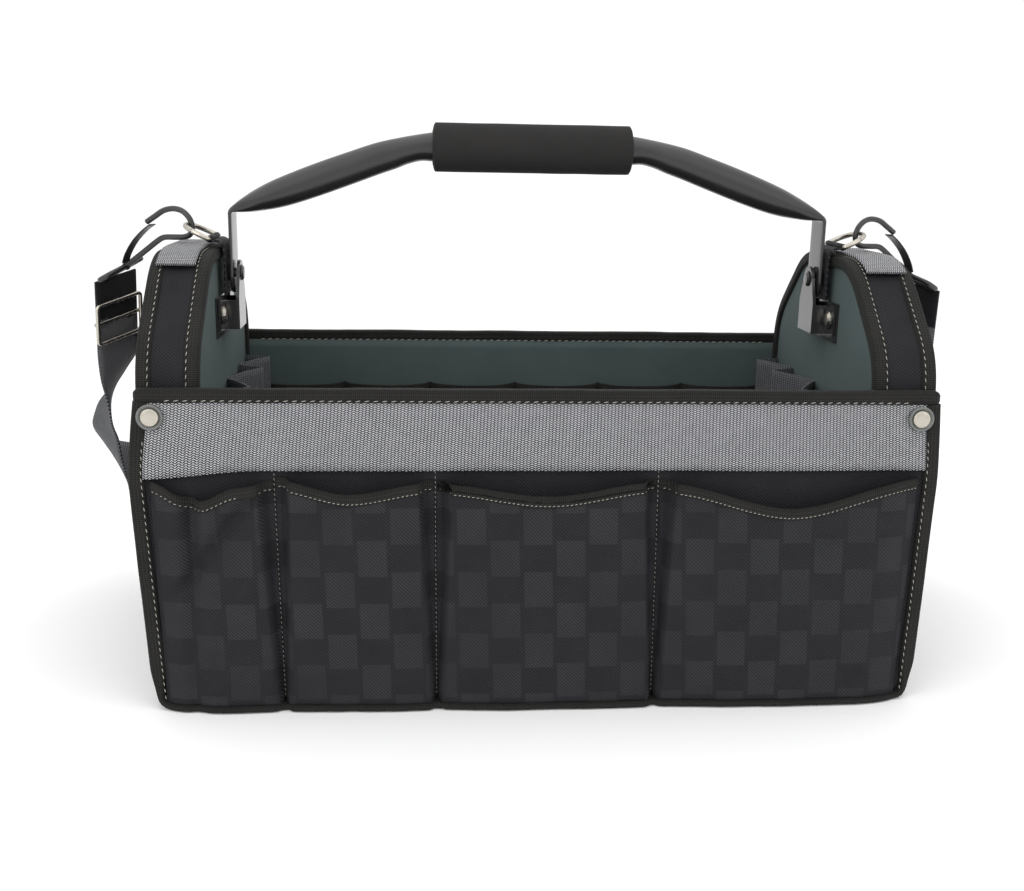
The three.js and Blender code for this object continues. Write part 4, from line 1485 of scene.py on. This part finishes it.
@dataclass
class Handle:
    """The bent pipe with its flattened legs, and the foam grip."""

    looks: Finishes
    grip_half: float = 62.5
    grip_radius: float = 15.0
    bore_radius: float = 9.9
    leg_top: float = 280.5
    half_rows: tuple[tuple[float, float, float, float], ...] = (
        (30.0, 320.0, 19.0, 19.0),
        (56.0, 320.0, 19.0, 19.0),
        (63.0, 320.0, 17.6, 19.2),
        (70.9, 319.4, 16.2, 19.6),
        (80.0, 317.4, 16.8, 19.6),
        (88.0, 315.0, 18.2, 19.2),
        (97.2, 312.2, 18.9, 19.0),
        (110.8, 307.3, 19.3, 19.0),
        (124.4, 302.4, 19.6, 19.2),
        (138.0, 297.4, 19.4, 19.6),
        (151.7, 292.4, 18.4, 20.6),
        (160.8, 289.2, 16.8, 21.6),
        (169.9, 286.0, 13.8, 23.0),
        (176.3, 283.7, 10.6, 24.0),
        (180.9, 282.1, 7.4, 24.6),
        (184.2, 280.9, 4.6, 25.0),
        (185.9, 280.0, 3.3, 25.0),
        (186.75, 278.4, 2.8, 25.0),
        (186.85, 275.0, 2.5, 25.0),
        (186.85, 262.0, 2.5, 25.0),
        (186.85, 246.0, 2.5, 25.0),
        (186.85, 240.0, 2.5, 25.0),
        (186.85, 235.0, 2.5, 22.2),
        (186.85, 231.6, 2.5, 16.6),
        (186.85, 229.6, 2.5, 10.0),
        (186.85, 228.7, 2.5, 3.0),
    )

    def build(self) -> None:
        """Builds the pipe and the grip."""
        self.build_pipe()
        self.build_grip()

    def build_pipe(self) -> None:
        """The pipe, from one leg's end to the other."""
        mirrored = [(-x, z, thick, wide) for x, z, thick, wide in reversed(self.half_rows)]
        rows = mirrored + list(self.half_rows)
        places = Route([Vector((x, z, 0.0)) for x, z, _, _ in rows])
        smooth_places = Route.curve([Vector((x, z, 0.0)) for x, z, _, _ in rows])
        smooth_sizes = Route.curve([Vector((thick, wide, 0.0)) for _, _, thick, wide in rows])
        count = len(smooth_places) - 1

        def place(along: float, across: float) -> Vector:
            """A point on the pipe's skin."""
            i = round(along * count)
            middle = smooth_places[i]
            before, after = smooth_places[max(0, i - 1)], smooth_places[min(count, i + 1)]
            forward = (after - before).normalized()
            thick = max(2.4, smooth_sizes[i].x)
            wide = min(25.0, smooth_sizes[i].y)
            flat = 1.0 - ease(2.6, 15.0, thick)
            deep, tall = rounded(across, wide / 2, thick / 2, 2.0 + 3.0 * flat)
            return Vector((middle.x - forward.y * tall, deep, middle.y + forward.x * tall))

        bm = surface((count, 36), place, (places.length, 60.0), closed=True)
        looks = [self.looks.steel, self.looks.gloss_steel]
        pipe = make_object("handle_pipe", bm, "handle", looks, ["handle_tube"])
        for face in pipe.data.polygons:
            face.material_index = int(face.center.z < self.leg_top * MM)

    def build_grip(self) -> None:
        """The foam sleeve, very slightly fuller in the middle."""
        half, outer, bore = self.grip_half, self.grip_radius, self.bore_radius

        def place(along: float, across: float) -> Vector:
            """A point on the sleeve's skin."""
            x = (2 * along - 1) * half
            near = half - abs(x)
            radius = bore + (outer - bore) * (1.0 - max(0.0, 1.0 - near / 2.2) ** 2.5)
            radius += 0.22 * ripple(x, across * 90, 81.0, 22.0)
            angle = 2 * math.pi * across
            return Vector((x, radius * math.cos(angle), BAG.grip_height + radius * math.sin(angle)))

        bm = surface((150, 48), place, (2 * half, 94.0), closed=True)
        make_object("grip_sleeve", bm, "handle", [self.looks.foam], ["handle_grip"])


# ---- Clips ------------------------------------------------------------------------------------------------


@dataclass
class Clip:
    """A ring, the snap hook that hangs in it, and the hook's gate. Modelled for the right and mirrored."""

    end: End
    looks: Finishes
    ring_wire: float = 1.6
    ring_tilt: float = 25.0
    hook_wire: float = 1.8
    hook_yaw: float = 24.5
    hook_roll: float = 12.0
    hook_reach: float = 14.0
    hook_foot: tuple[float, float] = (51.0, -26.5)
    loop_drop: float = 27.0
    loop_width: float = 40.0
    loop_length: float = 10.0
    pivot: Vector = field(init=False)
    origin: Vector = field(init=False)
    outwards: Vector = field(init=False)
    across: Vector = field(init=False)

    def __post_init__(self) -> None:
        """Works out where the hook hangs."""
        tilt = math.radians(self.ring_tilt)
        self.pivot = Vector((BAG.end_inner + BAG.ring_bar_inset, 0.0, BAG.ring_bar_height))
        ahead = Vector((self.hook_reach * math.cos(tilt), 0.0, self.hook_reach * math.sin(tilt)))
        self.origin = self.pivot + ahead
        yaw = math.radians(self.hook_yaw)
        self.outwards = Vector((math.cos(yaw), math.sin(yaw), 0.0))
        self.across = Vector((-math.sin(yaw), math.cos(yaw), 0.0))

    def on_hook(self, out: float, up: float) -> Vector:
        """A point of the hook's own plane."""
        return self.origin + self.outwards * out + Vector((0.0, 0.0, up))

    def loop_start(self) -> tuple[Vector, Vector]:
        """Where the strap's loop joins the wire, and the direction that it hangs in."""
        drop = math.radians(self.loop_drop)
        line = self.outwards * math.cos(drop) - Vector((0, 0, math.sin(drop)))
        return self.on_hook(*self.hook_foot), line

    def strap_start(self) -> Vector:
        """Where the strap leaves the right-hand hook's loop."""
        foot, line = self.loop_start()
        return foot + line * self.loop_length + Vector((0.0, 0.0, -self.hook_wire - 0.3))

    def piece(
        self, part: str, bm: bmesh.types.BMesh, look: bpy.types.Material, slot: str, body: str, node: str
    ) -> bpy.types.Object:
        """Makes one of the clip's pieces."""
        if self.end is End.LEFT:
            to_left(bm)
        word = self.end.word
        return make_object(f"{word}_{part}", bm, f"{word}_{body}", [look], [f"{word}_{node}"])

    def build(self) -> None:
        """Builds the ring, the hook and the gate."""
        self.build_ring()
        self.build_hook()
        self.build_gate()

    def build_ring(self) -> None:
        """The D-shaped ring, tilted up from its bar."""
        half = 17.0
        corners = [(0, 0), (0, -half), (7.5, -half), (15.2, -half * 0.72), (18.0, -half * 0.3)]
        corners += [(18.0, half * 0.3), (15.2, half * 0.72), (7.5, half), (0, half), (0, 0)]
        flat = rounded_route(corners, (2.2, 5.0, 5.0, 4.5, 4.5, 5.0, 5.0, 2.2))
        tilt = math.radians(self.ring_tilt)
        turn = Matrix.Rotation(-tilt, 4, "Y")
        points = [self.pivot + turn @ Vector((p.x, p.z, 0.0)) for p in flat.points]
        bm = wire(Route(points), self.ring_wire, 120, closed=True)
        self.piece("ring", bm, self.looks.nickel, "nickel", "clip", "d_ring")

    def build_hook(self) -> None:
        """The bent wire and the flat loop that the strap goes round."""
        course = (
            (33.6, 2.0), (27.6, 5.6), (20.5, 9.6), (13.0, 11.0), (6.6, 9.6), (1.8, 5.4), (0.0, 0.0),
            (1.8, -4.4), (6.5, -6.2), (14.0, -6.6), (20.5, -7.0), (25.0, -8.8), (33.0, -14.2), (42.0, -20.4),
            self.hook_foot,
        )
        route = Route([self.on_hook(out, up) for out, up in course], smooth=8)
        bm = wire(route, self.hook_wire, 110)
        foot, line = self.loop_start()
        bar = Matrix.Rotation(math.radians(self.hook_roll), 3, line) @ self.across
        half, length = self.loop_width / 2, self.loop_length
        flat = [(0.0, 0.0), (half, 0.0), (half, length), (-half, length), (-half, 0.0), (0.0, 0.0)]
        ring = rounded_route(flat, (4.0, 4.0, 4.0, 4.0))
        loop = wire(
            Route([foot + bar * p.x + line * p.z for p in ring.points]), self.hook_wire, 120, closed=True
        )
        add_shape(bm, loop)
        bmesh.ops.create_uvsphere(
            bm, u_segments=20, v_segments=12, radius=self.hook_wire * 1.5, matrix=Matrix.Translation(foot)
        )
        self.piece("hook_wire", bm, self.looks.steel, "black_steel", "clip", "snap_hook")

    def build_gate(self) -> None:
        """The flat spring that closes the hook."""
        course = ((51.6, -24.4), (49.0, -18.4), (43.2, -10.4), (35.8, -3.6), (29.6, 0.6))
        route = Route([self.on_hook(out, up) for out, up in course], smooth=8)

        def place(along: float, across: float) -> Vector:
            """A point on the leaf's skin."""
            middle = route.at(along)
            forward = route.along(along)
            normal = forward.cross(self.across)
            wide, deep = rounded(across, 3.5, 0.4, 5.0)
            return middle + self.across * wide + normal * deep

        bm = surface((40, 16), place, (36.0, 16.0), closed=True)
        self.piece("gate_spring", bm, self.looks.steel, "black_steel", "gate", "gate_leaf")


# ---- Strap ------------------------------------------------------------------------------------------------


@dataclass
class Strap:
    """The shoulder strap: two halves that meet at the bag's front, and the slider on the left half.

    Each row is a step of the right half from the hook's loop: its place from there, and the way the webbing's
    width points.
    """

    looks: Finishes
    start: Vector
    width: float = 37.0
    thickness: float = 1.4
    slider_step: int = 12
    clip_step: int = 22
    bag_step: int = 54
    rows: tuple[tuple[float, float, float, float, float, float], ...] = (
        (0, 0, 0, -0.5, 0.85, 0.2),
        (1, 3, -14, -0.5, 0.85, 0.2),
        (2, 6, -28, -0.5, 0.85, 0.2),
        (3, 9, -42, -0.5, 0.85, 0.2),
        (4, 12, -56, -0.48, 0.86, 0.2),
        (8.5, 17.5, -72, -0.12, 0.98, 0.12),
        (13.5, 21, -88, 0.27, 0.95, 0.1),
        (17.5, 25, -101, 0.5, 0.8, 0.25),
        (19.5, 31, -117, 0.6, 0.5, 0.6),
        (18.5, 46, -133, 0.5, 0.1, 0.86),
        (14.5, 66, -145, 0.3, -0.1, 0.95),
        (2, 86, -155, 0.1, -0.15, 0.98),
        (-18, 103, -166, 0, -0.2, 0.98),
        (-46, 114, -176, 0, -0.22, 0.97),
        (-82, 120, -186, 0, -0.22, 0.97),
        (-122, 122, -194, 0, -0.22, 0.97),
        (-170, 121, -200, 0, -0.22, 0.97),
        (-232, 117, -202, 0, -0.22, 0.97),
    )

    def __post_init__(self) -> None:
        """Draws the strap's middle line and its twist."""
        points = [self.start + Vector(row[:3]) for row in self.rows]
        points.append(Vector((0.15, points[-1].y, points[-1].z)))
        widths = [Vector(row[3:]) for row in self.rows]
        widths.append(widths[-1].copy())
        self.middles = Route.curve(points)
        self.widths = Route.curve(widths)

    def frame(self, index: int) -> tuple[Vector, Vector, Vector]:
        """The strap's place, width and outward directions at one of its steps."""
        last = len(self.middles) - 1
        before, after = self.middles[max(0, index - 1)], self.middles[min(last, index + 1)]
        forward = (after - before).normalized()
        wide = self.widths[index]
        wide = (wide - forward * wide.dot(forward)).normalized()
        return self.middles[index], wide, forward.cross(wide)

    def build(self) -> None:
        """Builds both halves and the slider."""
        slider = self.build_slider()
        self.build_half(End.LEFT)
        self.build_half(End.RIGHT)

    def build_half(self, end: End) -> None:
        """One half, from its hook to the middle of the bag's front.

        Args:
            end: Which half.
        """
        last = len(self.middles) - 1

        def place(along: float, across: float) -> Vector:
            """A point on the strap's outer face."""
            middle, wide, through = self.frame(round(along * last))
            return middle + wide * ((across - 0.5) * self.width) + through * (self.thickness / 2)

        length = Route(self.middles).length
        bm = surface((last, 8), place, (length, self.width), mirror=end is End.LEFT)
        name = f"{end.word}_strap"
        looks = [self.looks.strap_back, self.looks.strap_face, self.looks.black_webbing]
        top = self.middles[self.slider_step].z * MM
        piece = make_object(name + "_webbing", bm, "", looks, [name])
        for face in piece.data.polygons:
            face.material_index = 2 if face.center.z > top else 0
        thicken(piece, self.thickness, inside=1)
        sign = end.value
        path = [(sign * p.x * MM, p.y * MM, p.z * MM) for p in self.middles]
        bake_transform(piece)
        LOG.info("%s is %.0f mm long", name, length)

    def build_slider(self) -> bpy.types.Object:
        """The slider: a wire frame on the strap's outer side, with a bar across it."""
        middle, wide, through = self.frame(self.slider_step)
        along = wide.cross(through).normalized()
        turn = Matrix((wide, along, through)).transposed()
        half, tall, wire_radius = 20.0, 13.0, 1.35
        flat = [(0.0, -tall), (half, -tall), (half, tall), (-half, tall), (-half, -tall), (0.0, -tall)]
        ring = rounded_route(flat, (3.0, 3.0, 3.0, 3.0))
        lift = -(self.thickness / 2 + wire_radius + 0.3)
        points = [middle + turn @ Vector((p.x, p.z, lift)) for p in ring.points]
        bm = wire(Route(points), wire_radius, 130, closed=True)
        ends = [middle + turn @ Vector((side * half, 0.0, lift * 0.2)) for side in (-1, 1)]
        add_shape(bm, wire(Route(ends), wire_radius, 30))
        to_left(bm)
        return make_object("slider_frame", bm, "slider", [self.looks.nickel], ["strap_slider"])


# ---- Carried-over hardware --------------------------------------------------------------------------------


def dress(node: str, look: bpy.types.Material) -> None:
    """Gives a carried-over CAD node its finish.

    Args:
        node: The node's name.
        look: The finish.
    """
    mesh = bpy.data.objects[node].data
    mesh.materials.clear()
    mesh.materials.append(look)
    LOG.info("%s dressed", node)


@dataclass
class Hinge:
    """The handle's hinge at one end: plate, bracket, screws and rivet."""

    end: End
    looks: Finishes

    def build(self) -> None:
        """Dresses the hinge's parts."""
        word = self.end.word
        for part in ("hinge_plate", "hinge_bracket", "pivot_rivet"):
            dress(f"{word}_{part}", self.looks.gloss_steel)
        for part in ("hinge_screw_rear", "hinge_screw_front"):
            dress(f"{word}_{part}", self.looks.nickel)


@dataclass
class Floor:
    """The bag's stiffened floor: cloth below, lining above."""

    looks: Finishes
    thickness: float = 4.0
    half_length: float = 218.0
    half_depth: float = 110.5

    def build(self) -> None:
        """Builds the floor."""

        def place(along: float, across: float) -> Vector:
            """A point on the upper face."""
            x = (2 * along - 1) * self.half_length
            y = (2 * across - 1) * self.half_depth
            return Vector((x, y, self.thickness + 0.3 * ripple(x, y, 91.0, 50.0) * (1 - (y / 112) ** 8)))

        bm = surface((60, 30), place, flat_uv=lambda p: (p.x, p.y))
        looks = [self.looks.lining, self.looks.plain_cloth]
        piece = make_object("floor_board", bm, "bag", looks, ["base_board"])
        thicken(piece, self.thickness - 0.4, inside=1)


# ---- Studio -----------------------------------------------------------------------------------------------


@dataclass(frozen=True)
class Studio:
    """The pale floor, the soft lights and the camera."""

    eye: tuple[float, float, float] = (-0.071, -0.7896, 0.3246)
    yaw: float = 0.07809
    pitch: float = 0.24250
    roll: float = 0.01950
    focal: float = 43.27
    surround: float = 1.08

    def build(self) -> None:
        """Sets the studio up."""
        self.build_floor()
        self.build_camera()
        self.build_lights()

    def build_floor(self) -> None:
        """A wide white floor."""
        g = Graph("studio_floor")
        g.set(Base_Color=g.mix(g.noise(2.0, 2.0), (0.94, 0.94, 0.94), (0.97, 0.97, 0.97)), Roughness=0.9)
        bm = bmesh.new()
        bmesh.ops.create_grid(bm, x_segments=1, y_segments=1, size=6.0)
        mesh = bpy.data.meshes.new("studio_floor")
        bm.to_mesh(mesh)
        bm.free()
        mesh.materials.append(g.material)
        floor = bpy.data.objects.new("studio_floor", mesh)
        bpy.context.scene.collection.objects.link(floor)

    def build_camera(self) -> None:
        """The camera, at the height of the bag's handle and a little left of its middle."""
        cy, sy = math.cos(self.yaw), math.sin(self.yaw)
        cp, sp = math.cos(self.pitch), math.sin(self.pitch)
        ahead = Vector((sy * cp, cy * cp, -sp))
        right = Vector((cy, -sy, 0.0))
        up = right.cross(ahead)
        cr, sr = math.cos(self.roll), math.sin(self.roll)
        right, up = right * cr + up * sr, up * cr - right * sr
        data = bpy.data.cameras.new("camera")
        data.lens = self.focal
        data.sensor_width = 36.0
        camera = bpy.data.objects.new("camera", data)
        bpy.context.scene.collection.objects.link(camera)
        turn = Matrix((right, up, -ahead)).transposed().to_4x4()
        camera.matrix_world = Matrix.Translation(self.eye) @ turn
        bpy.context.scene.camera = camera

    def build_lights(self) -> None:
        """A white surround and large soft lights above and beside the bag."""
        world = bpy.data.worlds.new("studio")
        bpy.context.scene.world = world
        world.use_nodes = True
        background = world.node_tree.nodes["Background"]
        background.inputs["Color"].default_value = (1.0, 1.0, 1.0, 1.0)
        background.inputs["Strength"].default_value = self.surround
        bpy.context.scene.view_settings.view_transform = "Standard"
        places = (
            ("overhead", (0.0, -0.2, 1.7), (0.0, 0.0, 0.1), 2.0, 7.0),
            ("front_left", (-1.3, -1.3, 1.0), (0.0, 0.0, 0.15), 1.2, 7.0),
            ("front_right", (1.3, -1.2, 0.9), (0.0, 0.0, 0.15), 1.2, 3.5),
        )
        for name, spot, aim, size, power in places:
            data = bpy.data.lights.new(name, "AREA")
            data.size = size
            data.energy = power
            light = bpy.data.objects.new(name, data)
            bpy.context.scene.collection.objects.link(light)
            light.location = spot
            light.rotation_euler = (Vector(aim) - Vector(spot)).to_track_quat("-Z", "Y").to_euler()


# ---- The whole bag ----------------------------------------------------------------------------------------


def main() -> None:
    """Builds the studio and then every sub-assembly of the bag."""
    logging.basicConfig(level=logging.INFO, format="%(name)s: %(message)s")
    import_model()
    Studio().build()
    looks = Finishes()
    Strap(looks, Clip(End.RIGHT, looks).strap_start()).build()
    Floor(looks).build()
    for side in Side:
        Wall(side, looks).build()
    for end in End:
        EndBox(end, looks).build()
        Hinge(end, looks).build()
        Clip(end, looks).build()
    Handle(looks).build()


if __name__ == "__main__":
    main()
